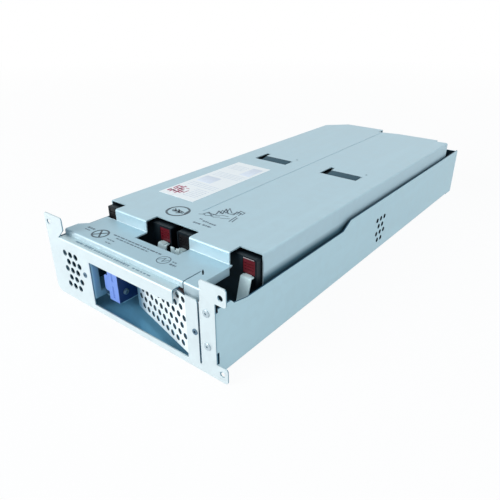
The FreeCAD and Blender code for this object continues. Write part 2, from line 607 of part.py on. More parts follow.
def negative_strap(x):
    """A tinned upright with a two-lobed top, and the tab that joins it to its blade."""
    leg = FRONT_BAY - STRAP_REACH
    across = (x - STRAP_WIDTH / 2, x + STRAP_WIDTH / 2)
    upright = box(across, (leg, leg + STRAP_THICK), (STRAP_BOTTOM, STRAP_TOP))
    notch = box((x - STRAP_NOTCH[0] / 2, x + STRAP_NOTCH[0] / 2), (leg - 1, leg + 2 * STRAP_THICK),
                (STRAP_TOP - STRAP_NOTCH[1], STRAP_TOP + 1))
    tab = box(across, (leg, FRONT_BAY), (BLADE_FOOT - STRAP_THICK, BLADE_FOOT))
    return upright.cut(notch).fuse(tab).removeSplitter()


def front_bar():
    """The bar that joins the feet of the two inner straps."""
    end = BLOCK_GAP / 2 + TERMINAL_INSET + STRAP_WIDTH / 2
    leg = FRONT_BAY - STRAP_REACH
    return box((-end, end), (leg - STRAP_THICK, leg), BAR)


def jumpers():
    """The short straps across the channel, behind the front row."""
    end = BLOCK_GAP / 2 + TERMINAL_INSET + BLADE[0] / 2
    shapes = []
    for face, outward in ((FRONT_FACES[1], -1), (REAR_FACES[0], 1), (REAR_FACES[1], 1)):
        shapes.append(box((-end, end), reach(face, outward, 0, STRAP_THICK),
                          (BLADE_FOOT - JUMPER_HEIGHT, BLADE_FOOT)))
    return Part.makeCompound(shapes)


# ---- Connector ----------------------------------------------------------------------
def connector_housing():
    """Two-pole housing on edge, with a key at its left and a slot for each contact."""
    body = box(CONNECTOR_X, CONNECTOR_Y, CONNECTOR_Z)
    key_high = (CONNECTOR_Z[0] + KEY_RISE[0], CONNECTOR_Z[0] + KEY_RISE[1])
    key = prism([(KEY_X, key_high[0], KEY_RADIUS), (CONNECTOR_X[0] + 1, key_high[0]),
                 (CONNECTOR_X[0] + 1, key_high[1]), (KEY_X, key_high[1], KEY_RADIUS)], "Y", CONNECTOR_Y)
    body = body.fuse(key).removeSplitter()
    cuts = []
    middle = sum(CONNECTOR_X) / 2
    for rise in CONTACT_RISE:
        z = CONNECTOR_Z[0] + rise
        across = (middle - CAVITY[0] / 2, middle + CAVITY[0] / 2)
        high = (z - CAVITY[1] / 2, z + CAVITY[1] / 2)
        cuts.append(box(across, (CONNECTOR_Y[0] - 1, CONNECTOR_Y[0] + CAVITY[2]), high))
        cuts.append(rod(V(middle, CONNECTOR_Y[0] + CAVITY[2], z), V(middle, CONNECTOR_Y[1] + 1, z),
                        LEAD_RADIUS + HOLE_CLEARANCE))
    for z in screw_heights():
        cuts.append(rod(V(CONNECTOR_X[0] - 1, SCREW_Y, z), V(CONNECTOR_X[0] + SCREW_GRIP + 0.5, SCREW_Y, z),
                        SCREW_RADIUS + HOLE_CLEARANCE))
    for point in side_screw_points():
        cuts.append(rod(point, point - V(SIDE_SCREW_LENGTH + 0.3, 0, 0), SCREW_RADIUS + HOLE_CLEARANCE))
    return body.cut(cuts)


def side_screw_points():
    """Where the short screws meet the housing's right side."""
    return [V(CONNECTOR_X[1], SIDE_SCREW_Y, CONNECTOR_Z[0] + rise) for rise in CONTACT_RISE]


def screw_heights():
    """Heights of the two screws that hold the housing."""
    return [CONNECTOR_Z[0] + SCREW_RISE, CONNECTOR_Z[1] - SCREW_RISE]


def contacts():
    """The flat tongues in the housing's slots."""
    middle = sum(CONNECTOR_X) / 2
    shapes = []
    for rise in CONTACT_RISE:
        z = CONNECTOR_Z[0] + rise
        shapes.append(box((middle - CONTACT[0] / 2, middle + CONTACT[0] / 2),
                          (CONNECTOR_Y[0] + CONTACT[2], CONNECTOR_Y[0] + CAVITY[2]),
                          (z - CONTACT[1] / 2, z + CONTACT[1] / 2)))
    return Part.makeCompound(shapes)


def connector_bracket():
    """Left wall of the recess, folded outward behind the panel, with a shelf at its foot."""
    wall = OPENING_LEFT
    line = [(wall - 15, SHEET), (wall, SHEET), (wall, BRACKET_BACK)]
    body = folded(line, SHEET, "Z", (CONNECTOR_Z[0] - SHEET, OPENING_TOP + 6))
    shelf_z = CONNECTOR_Z[0] - SHEET
    line = [(wall - SHEET, 30.0), (wall - SHEET, shelf_z), (CONNECTOR_X[1], shelf_z)]
    shelf = folded(line, SHEET, "Y", (CONNECTOR_Y[0] + 4, BRACKET_BACK))
    body = body.fuse(shelf).removeSplitter()
    through = (wall - 2 * SHEET, wall + 2 * SHEET)
    body = body.cut(box(through, BRACKET_WINDOW[0], BRACKET_WINDOW[1]))
    holes = [(SCREW_Y, z) for z in screw_heights()]
    body = body.cut(drill(holes, SCREW_RADIUS + HOLE_CLEARANCE, "X", through))
    return body.cut(drill(STUDS[:1], SCREW_RADIUS + HOLE_CLEARANCE, "Y", (0, 3 * SHEET)))


def pan_screw(head_at, direction, length):
    """A screw whose head's underside is at a point and whose shank runs along a direction."""
    head_radius, head = SCREW_HEAD
    shank = rod(head_at, head_at + direction * length, SCREW_RADIUS)
    cap = rod(head_at, head_at - direction * head, head_radius)
    rim = [e for e in cap.Edges if abs((e.CenterOfMass - head_at).dot(direction) + head) < 0.01]
    cap = cap.makeChamfer(head * 0.4, [e for e in rim if e.Closed])
    slot = box((-0.45, 0.45), (-1.6, 1.6), (0, 1.0))
    cross = box((-1.6, 1.6), (-0.45, 0.45), (0, 1.0))
    tool = slot.fuse(cross)
    turn = FreeCAD.Rotation(V(0, 0, 1), -direction)
    tool.Placement = FreeCAD.Placement(head_at - direction * (head - 0.9), turn)
    return cap.fuse(shank).cut(tool)


def hex_nut(foot, direction):
    """A nut on a screw, standing on a point."""
    radius, high = NUT
    corners = [(radius * math.cos(math.radians(60 * i)), radius * math.sin(math.radians(60 * i)))
               for i in range(6)]
    hole = rod(V(0, 0, -1), V(0, 0, high + 1), SCREW_RADIUS + HOLE_CLEARANCE)
    body = prism(corners, "Z", (0, high)).cut(hole)
    body.Placement = FreeCAD.Placement(foot, FreeCAD.Rotation(V(0, 0, 1), direction))
    return body


def connector_screws():
    """Two long screws through the bracket and the spacers into the housing."""
    head_at = OPENING_LEFT - SHEET
    length = CONNECTOR_X[0] + SCREW_GRIP - head_at
    shapes = [pan_screw(V(head_at, SCREW_Y, z), V(1, 0, 0), length) for z in screw_heights()]
    return Part.makeCompound(shapes)


def side_screws():
    """Two short screws in the right side of the housing."""
    left = V(-1, 0, 0)
    return Part.makeCompound([pan_screw(point, left, SIDE_SCREW_LENGTH) for point in side_screw_points()])


def connector_nuts():
    """Their nuts, which lock the screws to the bracket."""
    return Part.makeCompound([hex_nut(V(OPENING_LEFT, SCREW_Y, z), V(1, 0, 0)) for z in screw_heights()])


def connector_spacers():
    """The tubes between the nuts and the housing."""
    shapes = []
    for z in screw_heights():
        start = V(OPENING_LEFT + NUT[1], SCREW_Y, z)
        end = V(CONNECTOR_X[0], SCREW_Y, z)
        shapes.append(rod(start, end, SPACER_RADIUS).cut(rod(start, end, SCREW_RADIUS + HOLE_CLEARANCE)))
    return Part.makeCompound(shapes)


def power_lead(rise, goal_x):
    """A lead from a contact's back, behind the housing and across to an outer strap."""
    middle = sum(CONNECTOR_X) / 2
    z = CONNECTOR_Z[0] + rise
    side = 1 if goal_x > middle else -1
    turn, land, end = LEAD_BEND
    points = [V(middle, CONNECTOR_Y[0] + CAVITY[2], z), V(middle, LEAD_Y, z),
              V(goal_x - side * turn, LEAD_Y, LEAD_Z), V(goal_x - side * land, LEAD_END_Y, LEAD_Z),
              V(goal_x + side * end, LEAD_END_Y, LEAD_Z)]
    return lead(points, LEAD_RADIUS)


# ---- Soft pads, label, fasteners ----------------------------------------------------
def floor_pad():
    return box((-PACK_HALF, PACK_HALF), (FRONT_FACES[0], REAR_FACES[1]), (SHEET, BLOCK_FLOOR))


def channel_foam():
    half = BLOCK_GAP / 2 - SEAT
    top = BLADE_FOOT - JUMPER_HEIGHT - SEAT
    return box((-half, half), (FRONT_FACES[0] + SEAT, REAR_FACES[1] - SEAT), (BLOCK_FLOOR, top))


def middle_pad():
    gap = (FRONT_BACK, FRONT_BACK + MIDDLE_GAP)
    left = box((-PACK_HALF, -BLOCK_GAP / 2), gap, (BLOCK_FLOOR, BLOCK_TOP - BLOCK_RADIUS))
    return Part.makeCompound([left, mirrored(left)])


def label():
    return box(LABEL[:2], LABEL[2:], (HIGH_DECK, HIGH_DECK + LABEL_THICK))


def rivets():
    """Blind rivets of the front flanges: domed head, shank, clenched end, open core."""
    shapes = []
    back = 2 * SHEET
    for x, z in rivet_points():
        head = rod(V(x, 0, z), V(x, -RIVET_HEAD, z), RIVET_HEAD_RADIUS)
        head = head.makeChamfer(0.45, [e for e in head.Edges if e.Closed and e.CenterOfMass.y < -0.5])
        shank = rod(V(x, 0, z), V(x, back, z), RIVET_RADIUS)
        clench = rod(V(x, back, z), V(x, back + 2.0, z), RIVET_RADIUS + 0.7)
        core = rod(V(x, -RIVET_HEAD - 1, z), V(x, 0.2, z), 0.95)
        shapes.append(head.fuse([shank, clench]).cut(core))
    return Part.makeCompound(shapes)


def stud(x, z, length):
    """A star-marked stud, pressed into the panel."""
    head = rod(V(x, -0.5, z), V(x, 0, z), 2.6)
    shank = rod(V(x, 0, z), V(x, length, z), SCREW_RADIUS)
    points = []
    for i in range(12):
        far = 1.5 if i % 2 == 0 else 0.9
        points.append((x + far * math.cos(math.radians(30 * i)), z + far * math.sin(math.radians(30 * i))))
    return head.fuse(shank).cut(prism(points, "Y", (-0.6, 0.5)))


def studs():
    return Part.makeCompound([stud(x, z, STUD_LENGTH) for x, z in STUDS])


def stud_nuts():
    return Part.makeCompound([hex_nut(V(x, 2 * SHEET, z), V(0, 1, 0)) for x, z in STUDS])


# ---- All nodes ----------------------------------------------------------------------
def nodes():
    """Every node's name and its shape in the working frame."""
    inner = BLOCK_GAP / 2 + TERMINAL_INSET
    outer = PACK_HALF - TERMINAL_INSET
    found = {
        "tray": tray(),
        "front_panel": front_panel(),
        "top_cover": top_cover(),
        "floor_pad": floor_pad(),
        "channel_foam": channel_foam(),
        "middle_pad": middle_pad(),
        "positive_boots": boots(1),
        "negative_boots": boots(-1),
        "terminal_blades": blades(),
        "strap_outer_left": negative_strap(-outer),
        "strap_inner_left": positive_strap(-inner),
        "strap_inner_right": negative_strap(inner),
        "strap_outer_right": positive_strap(outer),
        "front_bar": front_bar(),
        "channel_jumpers": jumpers(),
        "connector_housing": connector_housing(),
        "connector_contacts": contacts(),
        "connector_bracket": connector_bracket(),
        "connector_guard": connector_guard(),
        "connector_screws": connector_screws(),
        "side_screws": side_screws(),
        "connector_nuts": connector_nuts(),
        "connector_spacers": connector_spacers(),
        "lead_positive": power_lead(CONTACT_RISE[1], outer),
        "lead_negative": power_lead(CONTACT_RISE[0], -outer),
        "label": label(),
        "ear_rivets": rivets(),
        "panel_studs": studs(),
        "stud_nuts": stud_nuts(),
    }
    number = 1
    for faces, outward in ((FRONT_FACES, -1), (REAR_FACES, 1)):
        for face in faces:
            for column in (-1, 1):
                found["battery_block_%d" % number] = sealed_block(column, face, outward)
                number += 1
    return found


os.makedirs("parts", exist_ok=True)
for name, shape in nodes().items():
    shape.translate(V(0, SHIFT_Y, 0))
    shape.exportStep("parts/%s.step" % name)
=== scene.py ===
"""Looks of a rack-mounted battery cartridge: finishes, printed marks and small fittings.

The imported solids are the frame. Each class below is one sub-assembly: it builds the pieces
that the frame lacks and dresses the solids that it owns. Lengths are in metres, in the
part's own frame: X across, Y from the front panel to the back, Z up.
"""
import logging
import math
from dataclasses import dataclass
from enum import Enum
from typing import Callable, Sequence

import bmesh
import bpy
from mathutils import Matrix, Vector


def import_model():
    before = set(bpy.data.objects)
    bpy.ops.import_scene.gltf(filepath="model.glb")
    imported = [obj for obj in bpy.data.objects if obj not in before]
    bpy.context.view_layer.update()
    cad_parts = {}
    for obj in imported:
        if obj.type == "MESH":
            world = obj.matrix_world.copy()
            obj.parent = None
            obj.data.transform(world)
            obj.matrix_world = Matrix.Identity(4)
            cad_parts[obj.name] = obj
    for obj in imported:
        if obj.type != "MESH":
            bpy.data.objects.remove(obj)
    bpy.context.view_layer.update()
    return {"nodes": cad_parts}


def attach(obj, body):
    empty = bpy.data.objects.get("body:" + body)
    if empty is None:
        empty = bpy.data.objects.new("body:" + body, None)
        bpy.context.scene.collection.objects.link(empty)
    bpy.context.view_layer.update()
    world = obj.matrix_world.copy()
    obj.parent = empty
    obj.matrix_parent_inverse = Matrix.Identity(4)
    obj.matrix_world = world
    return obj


LOG = logging.getLogger("cartridge")
Point = tuple[float, float, float]
Colour = tuple[float, float, float]
Span = tuple[float, float]
Socket = bpy.types.NodeSocket

MM = 0.001
FRONT_Y = -0.265          # front face of the panel
INNER_X = 0.0988          # inner faces of the tray's side walls, left and right
INNER_Y = 0.2648          # inner face of its back wall
HIGH_DECK_Z = 0.0803      # top of the cover's high deck
LOW_DECK_Z = 0.0686       # top of its low deck
LEDGE_Z = 0.0632          # top of the panel's ledge
EDGE = 0.0001             # softened edge of the small pieces
ALONG_X = (1.0, 0.0, 0.0)
ALONG_Y = (0.0, 1.0, 0.0)
ALONG_Z = (0.0, 0.0, 1.0)
GUARD_FACING = (0.240, 0.971, 0.0)   # what the perforated guard looks along


class Axis(Enum):
    """The part's own axes, each with its place in a vector."""

    X = 0
    Y = 1
    Z = 2


def place(x: float, y: float, z: float) -> Point:
    """Turns millimetres behind the panel's front face into the part's frame in metres."""
    return (x * MM, y * MM + FRONT_Y, z * MM)


# ---------------------------------------------------------------------------------------
# Node groups: effects that several finishes share
# ---------------------------------------------------------------------------------------
class Effect(Enum):
    """Named shared effects, each one node group."""

    SPANGLE = "zinc_spangle"
    GRAIN = "fine_grain"
    RUB = "rub_marks"


class EffectLibrary:
    """Builds each shared node group once and hands it out."""

    def __init__(self) -> None:
        """Starts with no groups."""
        self.groups: dict[Effect, bpy.types.NodeTree] = {}

    def get(self, effect: Effect) -> bpy.types.NodeTree:
        """Returns the group of an effect, built at its first use.

        Args:
            effect: the shared effect that is asked for.

        Returns:
            The node group, with Coordinates and Scale inputs and a Value output.
        """
        if effect not in self.groups:
            makers: dict[Effect, Callable[[bpy.types.NodeTree], None]] = {
                Effect.SPANGLE: self._spangle,
                Effect.GRAIN: self._grain,
                Effect.RUB: self._rub,
            }
            group = bpy.data.node_groups.new(effect.value, "ShaderNodeTree")
            group.interface.new_socket("Coordinates", in_out="INPUT", socket_type="NodeSocketVector")
            group.interface.new_socket("Scale", in_out="INPUT", socket_type="NodeSocketFloat")
            group.interface.new_socket("Value", in_out="OUTPUT", socket_type="NodeSocketFloat")
            makers[effect](group)
            self.groups[effect] = group
        return self.groups[effect]

    @staticmethod
    def _ends(group: bpy.types.NodeTree) -> tuple[bpy.types.Node, bpy.types.Node]:
        """Adds the input and output nodes of a group and returns them."""
        return group.nodes.new("NodeGroupInput"), group.nodes.new("NodeGroupOutput")

    def _spangle(self, group: bpy.types.NodeTree) -> None:
        """Faint crystal patches of a zinc coating, softened by cloudy noise.

        Args:
            group: the empty node group to fill.
        """
        start, end = self._ends(group)
        cells = group.nodes.new("ShaderNodeTexVoronoi")
        cells.feature = "F1"
        clouds = group.nodes.new("ShaderNodeTexNoise")
        clouds.inputs["Detail"].default_value = 3.0
        mix = group.nodes.new("ShaderNodeMath")
        mix.operation = "MULTIPLY_ADD"
        mix.inputs[1].default_value = 0.45
        grey = group.nodes.new("ShaderNodeSeparateColor")
        half = group.nodes.new("ShaderNodeMath")
        half.operation = "MULTIPLY"
        half.inputs[1].default_value = 0.55
        for texture in (cells, clouds):
            group.links.new(start.outputs["Coordinates"], texture.inputs["Vector"])
            group.links.new(start.outputs["Scale"], texture.inputs["Scale"])
        group.links.new(cells.outputs["Color"], grey.inputs["Color"])
        group.links.new(clouds.outputs["Fac"], half.inputs[0])
        group.links.new(grey.outputs["Red"], mix.inputs[0])
        group.links.new(half.outputs[0], mix.inputs[2])
        group.links.new(mix.outputs[0], end.inputs["Value"])

    def _grain(self, group: bpy.types.NodeTree) -> None:
        """Fine even grain, as on moulded plastic.

        Args:
            group: the empty node group to fill.
        """
        start, end = self._ends(group)
        noise = group.nodes.new("ShaderNodeTexNoise")
        noise.inputs["Detail"].default_value = 6.0
        noise.inputs["Roughness"].default_value = 0.6
        group.links.new(start.outputs["Coordinates"], noise.inputs["Vector"])
        group.links.new(start.outputs["Scale"], noise.inputs["Scale"])
        group.links.new(noise.outputs["Fac"], end.inputs["Value"])

    def _rub(self, group: bpy.types.NodeTree) -> None:
        """Long faint rub marks that run along Y.

        Args:
            group: the empty node group to fill.
        """
        start, end = self._ends(group)
        stretch = group.nodes.new("ShaderNodeVectorMath")
        stretch.operation = "MULTIPLY"
        stretch.inputs[1].default_value = (1.0, 0.06, 1.0)
        noise = group.nodes.new("ShaderNodeTexNoise")
        noise.inputs["Detail"].default_value = 5.0
        ramp = group.nodes.new("ShaderNodeMapRange")
        ramp.inputs["From Min"].default_value = 0.52
        ramp.inputs["From Max"].default_value = 0.72
        group.links.new(start.outputs["Coordinates"], stretch.inputs[0])
        group.links.new(stretch.outputs[0], noise.inputs["Vector"])
        group.links.new(start.outputs["Scale"], noise.inputs["Scale"])
        group.links.new(noise.outputs["Fac"], ramp.inputs["Value"])
        group.links.new(ramp.outputs["Result"], end.inputs["Value"])


EFFECTS = EffectLibrary()


class MaterialSketch:
    """A Principled material under construction, with the few links that finishes need."""

    def __init__(self, name: str) -> None:
        """Makes an empty material with a Principled shader.

        Args:
            name: the material's name.
        """
        self.material = bpy.data.materials.new(name)
        self.material.use_nodes = True
        self.tree = self.material.node_tree
        self.shader = self.tree.nodes["Principled BSDF"]
        self.coordinates = self.tree.nodes.new("ShaderNodeTexCoord").outputs["Object"]

    def _feed(self, inlet: Socket, value: Socket | float | Point | Colour) -> None:
        """Links a socket to an input, or sets a plain value on it.

        Args:
            inlet: the input.
            value: a socket, a number, a vector or a colour.
        """
        if isinstance(value, Socket):
            self.tree.links.new(value, inlet)
        else:
            inlet.default_value = value

    def calculate(self, operation: str, *values: Socket | float) -> Socket:
        """Adds a Math node.

        Args:
            operation: the node's own word for what it does.
            values: the one or two values that it works on.

        Returns:
            The result's socket.
        """
        node = self.tree.nodes.new("ShaderNodeMath")
        node.operation = operation
        for inlet, value in zip(node.inputs, values):
            self._feed(inlet, value)
        return node.outputs[0]

    def _vector_math(self, operation: str, first: Socket, second: Socket | Point) -> bpy.types.Node:
        """Adds a Vector Math node.

        Args:
            operation: the node's own word for what it does.
            first: a vector socket.
            second: another vector socket, or a plain vector.

        Returns:
            The node, whose outputs are Vector and Value.
        """
        node = self.tree.nodes.new("ShaderNodeVectorMath")
        node.operation = operation
        self._feed(node.inputs[0], first)
        self._feed(node.inputs[1], second)
        return node

    def position(self, axis: Axis) -> Socket:
        """Reads the position along one of the part's axes.

        Args:
            axis: the axis.

        Returns:
            The position's socket, in metres.
        """
        axes = self.tree.nodes.new("ShaderNodeSeparateXYZ")
        self.tree.links.new(self.coordinates, axes.inputs[0])
        return axes.outputs[axis.value]

    def effect(self, effect: Effect, scale: float) -> Socket:
        """Adds a shared effect on Object coordinates.

        Args:
            effect: which shared node group to add.
            scale: how many features there are in a metre.

        Returns:
            The effect's value socket.
        """
        node = self.tree.nodes.new("ShaderNodeGroup")
        node.node_tree = EFFECTS.get(effect)
        node.inputs["Scale"].default_value = scale
        self.tree.links.new(self.coordinates, node.inputs["Coordinates"])
        return node.outputs["Value"]

    def spread(self, value: Socket, low: float, high: float) -> Socket:
        """Maps 0..1 to a range.

        Args:
            value: the socket to map.
            low: what 0 becomes.
            high: what 1 becomes.

        Returns:
            The mapped socket.
        """
        node = self.tree.nodes.new("ShaderNodeMapRange")
        node.inputs["To Min"].default_value = low
        node.inputs["To Max"].default_value = high
        self.tree.links.new(value, node.inputs["Value"])
        return node.outputs["Result"]

    def blend(self, factor: Socket, first: Socket | Colour, second: Colour) -> Socket:
        """Mixes two colours.

        Args:
            factor: 0 gives the first colour, 1 the second.
            first: a colour socket or a linear colour.
            second: linear colour.

        Returns:
            The mixed colour socket.
        """
        node = self.tree.nodes.new("ShaderNodeMix")
        node.data_type = "RGBA"
        self._feed(node.inputs[0], factor)
        self._feed(node.inputs[6], first if isinstance(first, Socket) else (*first, 1.0))
        self._feed(node.inputs[7], (*second, 1.0))
        return node.outputs[2]

    def paint(self, colour: Socket) -> None:
        """Links a colour to the shader."""
        self.tree.links.new(colour, self.shader.inputs["Base Color"])

    def paint_shading(self, colour: Socket, region: "PaintedShading") -> Socket:
        """Paints shade or light into a colour: a tint on faces in one direction, fading in.

        Args:
            colour: the colour socket.
            region: where the shade or light is painted, and its tint there.

        Returns:
            The colour socket with the tint in it.
        """
        position = self.position(region.axis)
        if region.mirrored:
            position = self.calculate("ABSOLUTE", position)
        fade = self.tree.nodes.new("ShaderNodeMapRange")
        fade.inputs["From Min"].default_value = region.start
        fade.inputs["From Max"].default_value = region.end
        self._feed(fade.inputs["Value"], position)
        normal = self.tree.nodes.new("ShaderNodeNewGeometry").outputs["True Normal"]
        along = self._vector_math("DOT_PRODUCT", normal, region.facing).outputs["Value"]
        test = "LESS_THAN" if region.edges else "GREATER_THAN"
        faces = self.calculate(test, self.calculate("ABSOLUTE", along), 0.5)
        both = self.calculate("MULTIPLY", fade.outputs["Result"], faces)
        tint = self.blend(both, (1.0, 1.0, 1.0), region.tint)
        return self._vector_math("MULTIPLY", colour, tint).outputs[0]

    def roughen(self, value: Socket) -> None:
        """Links a roughness to the shader."""
        self.tree.links.new(value, self.shader.inputs["Roughness"])

    def emboss(self, value: Socket, strength: float, distance: float) -> None:
        """Adds a bump from a height.

        Args:
            value: the height socket.
            strength: the bump's strength.
            distance: the bump's depth in metres.
        """
        node = self.tree.nodes.new("ShaderNodeBump")
        node.inputs["Strength"].default_value = strength
        node.inputs["Distance"].default_value = distance
        self.tree.links.new(value, node.inputs["Height"])
        self.tree.links.new(node.outputs["Normal"], self.shader.inputs["Normal"])


def tinted(colour: Colour, factor: float) -> Colour:
    """Returns a colour made lighter or darker by a factor."""
    red, green, blue = (min(part * factor, 1.0) for part in colour)
    return (red, green, blue)


# ---------------------------------------------------------------------------------------
# Finishes
# ---------------------------------------------------------------------------------------
@dataclass(frozen=True)
class PaintedShading:
    """Painted shade or painted light on a stretch of a sheet: faces in one direction, fading in.

    Attributes:
        axis: the axis that the position counts along.
        start: position along it where the tint begins, in metres.
        end: position where it is whole.
        facing: direction that the faces look along, either way.
        tint: what the colour is multiplied by.
        mirrored: whether the position counts without its sign.
        edges: whether the faces across that direction count in its place.
    """

    axis: Axis
    start: float
    end: float
    facing: Point
    tint: Colour
    mirrored: bool = False
    edges: bool = False


@dataclass(frozen=True)
class ZincSheet:
    """Zinc-coated steel sheet: cloudy patches, faint rub marks, half-metal sheen.

    Attributes:
        name: the material's name.
        colour: its middle colour, linear.
        metallic: how metallic it is.
        roughness: its middle roughness.
        patches: number of crystal patches in a metre.
        painted_shading: stretches with painted shade or painted light, each with a tint of its own.
    """

    name: str
    colour: Colour
    metallic: float = 0.35
    roughness: float = 0.42
    patches: float = 130.0
    painted_shading: tuple[PaintedShading, ...] = ()

    def build(self) -> bpy.types.Material:
        """Returns the finished material."""
        sketch = MaterialSketch(self.name)
        spangle = sketch.effect(Effect.SPANGLE, self.patches)
        rub = sketch.effect(Effect.RUB, 90.0)
        tone = sketch.blend(spangle, tinted(self.colour, 0.955), tinted(self.colour, 1.03))
        colour = sketch.blend(sketch.spread(rub, 0.0, 0.35), tone, tinted(self.colour, 1.07))
        # painted shade and painted light, one stretch after another
        for region in self.painted_shading:
            colour = sketch.paint_shading(colour, region)
        sketch.paint(colour)
        sketch.roughen(sketch.spread(spangle, self.roughness - 0.05, self.roughness + 0.07))
        sketch.shader.inputs["Metallic"].default_value = self.metallic
        sketch.emboss(sketch.effect(Effect.GRAIN, 900.0), 0.05, 0.0002)
        return sketch.material


@dataclass(frozen=True)
class Moulding:
    """Moulded plastic or rubber with a fine grain.

    Attributes:
        name: the material's name.
        colour: its middle colour, linear.
        roughness: its middle roughness.
        grain: number of grains in a metre.
        depth: strength of the grain's bump.
        variation: how far soft patches go lighter and darker, as a share.
        shine: strength of its reflection, where 0.5 is usual.
        sheen: tint of that reflection.
    """

    name: str
    colour: Colour
    roughness: float = 0.45
    grain: float = 1600.0
    depth: float = 0.08
    variation: float = 0.12
    shine: float = 0.5
    sheen: Colour = (1.0, 1.0, 1.0)

    def build(self) -> bpy.types.Material:
        """Returns the finished material."""
        sketch = MaterialSketch(self.name)
        grain = sketch.effect(Effect.GRAIN, self.grain)
        clouds = sketch.effect(Effect.GRAIN, 45.0)
        sketch.paint(sketch.blend(clouds, tinted(self.colour, 1 - self.variation),
                                  tinted(self.colour, 1 + self.variation)))
        sketch.roughen(sketch.spread(clouds, self.roughness - 0.06, self.roughness + 0.06))
        sketch.emboss(grain, self.depth, 0.0002)
        sketch.shader.inputs["Specular IOR Level"].default_value = self.shine
        sketch.shader.inputs["Specular Tint"].default_value = (*self.sheen, 1.0)
        return sketch.material


@dataclass(frozen=True)
class ShadedMoulding:
    """Moulded plastic with fine upright ribs, much darker behind its mating face: painted shade on its
    sides.

    Attributes:
        name: the material's name.
        shade_colour: colour behind the mating face, a painted shade.
        face: colour of the mating face.
        face_y: where the painted shade ends and the face begins, along Y.
    """

    name: str
    shade_colour: Colour
    face: Colour
    face_y: float = FRONT_Y + 0.0094

    def build(self) -> bpy.types.Material:
        """Returns the finished material."""
        sketch = MaterialSketch(self.name)
        # painted shade behind the mating face
        before = sketch.calculate("LESS_THAN", sketch.position(Axis.Y), self.face_y)
        sketch.paint(sketch.blend(before, self.shade_colour, self.face))
        sketch.roughen(sketch.spread(sketch.effect(Effect.GRAIN, 60.0), 0.38, 0.5))
        ribs = sketch.tree.nodes.new("ShaderNodeTexWave")
        ribs.bands_direction = "X"
        ribs.inputs["Scale"].default_value = 140.0
        sketch.tree.links.new(sketch.coordinates, ribs.inputs["Vector"])
        sketch.emboss(ribs.outputs["Fac"], 0.35, 0.0003)
        return sketch.material


@dataclass(frozen=True)
class BareMetal:
    """Tinned or plated metal with soft streaks.

    Attributes:
        name: the material's name.
        colour: its middle colour, linear.
        roughness: roughness between the streaks.
        metallic: how metallic it is.
    """

    name: str
    colour: Colour
    roughness: float = 0.3
    metallic: float = 0.85

    def build(self) -> bpy.types.Material:
        """Returns the finished material."""
        sketch = MaterialSketch(self.name)
        streaks = sketch.effect(Effect.RUB, 420.0)
        cloud = sketch.effect(Effect.GRAIN, 160.0)
        sketch.paint(sketch.blend(cloud, tinted(self.colour, 0.86), tinted(self.colour, 1.06)))
        sketch.roughen(sketch.spread(streaks, self.roughness, self.roughness + 0.14))
        sketch.shader.inputs["Metallic"].default_value = self.metallic
        sketch.emboss(streaks, 0.06, 0.0001)
        return sketch.material


@dataclass(frozen=True)
class Foam:
    """Closed-cell foam: small cells all over."""

    name: str
    colour: Colour

    def build(self) -> bpy.types.Material:
        """Returns the finished material."""
        sketch = MaterialSketch(self.name)
        cells = sketch.effect(Effect.SPANGLE, 900.0)
        sketch.paint(sketch.blend(cells, tinted(self.colour, 0.7), tinted(self.colour, 1.2)))
        sketch.roughen(sketch.spread(cells, 0.8, 0.95))
        sketch.emboss(cells, 0.35, 0.0003)
        return sketch.material


@dataclass(frozen=True)
class Print:
    """Printing ink or coated paper: nearly flat, with a slight mottle."""

    name: str
    colour: Colour
    roughness: float = 0.5

    def build(self) -> bpy.types.Material:
        """Returns the finished material."""
        sketch = MaterialSketch(self.name)
        mottle = sketch.effect(Effect.GRAIN, 260.0)
        sketch.paint(sketch.blend(mottle, tinted(self.colour, 0.93), tinted(self.colour, 1.05)))
        sketch.roughen(sketch.spread(mottle, self.roughness - 0.08, self.roughness + 0.08))
        return sketch.material


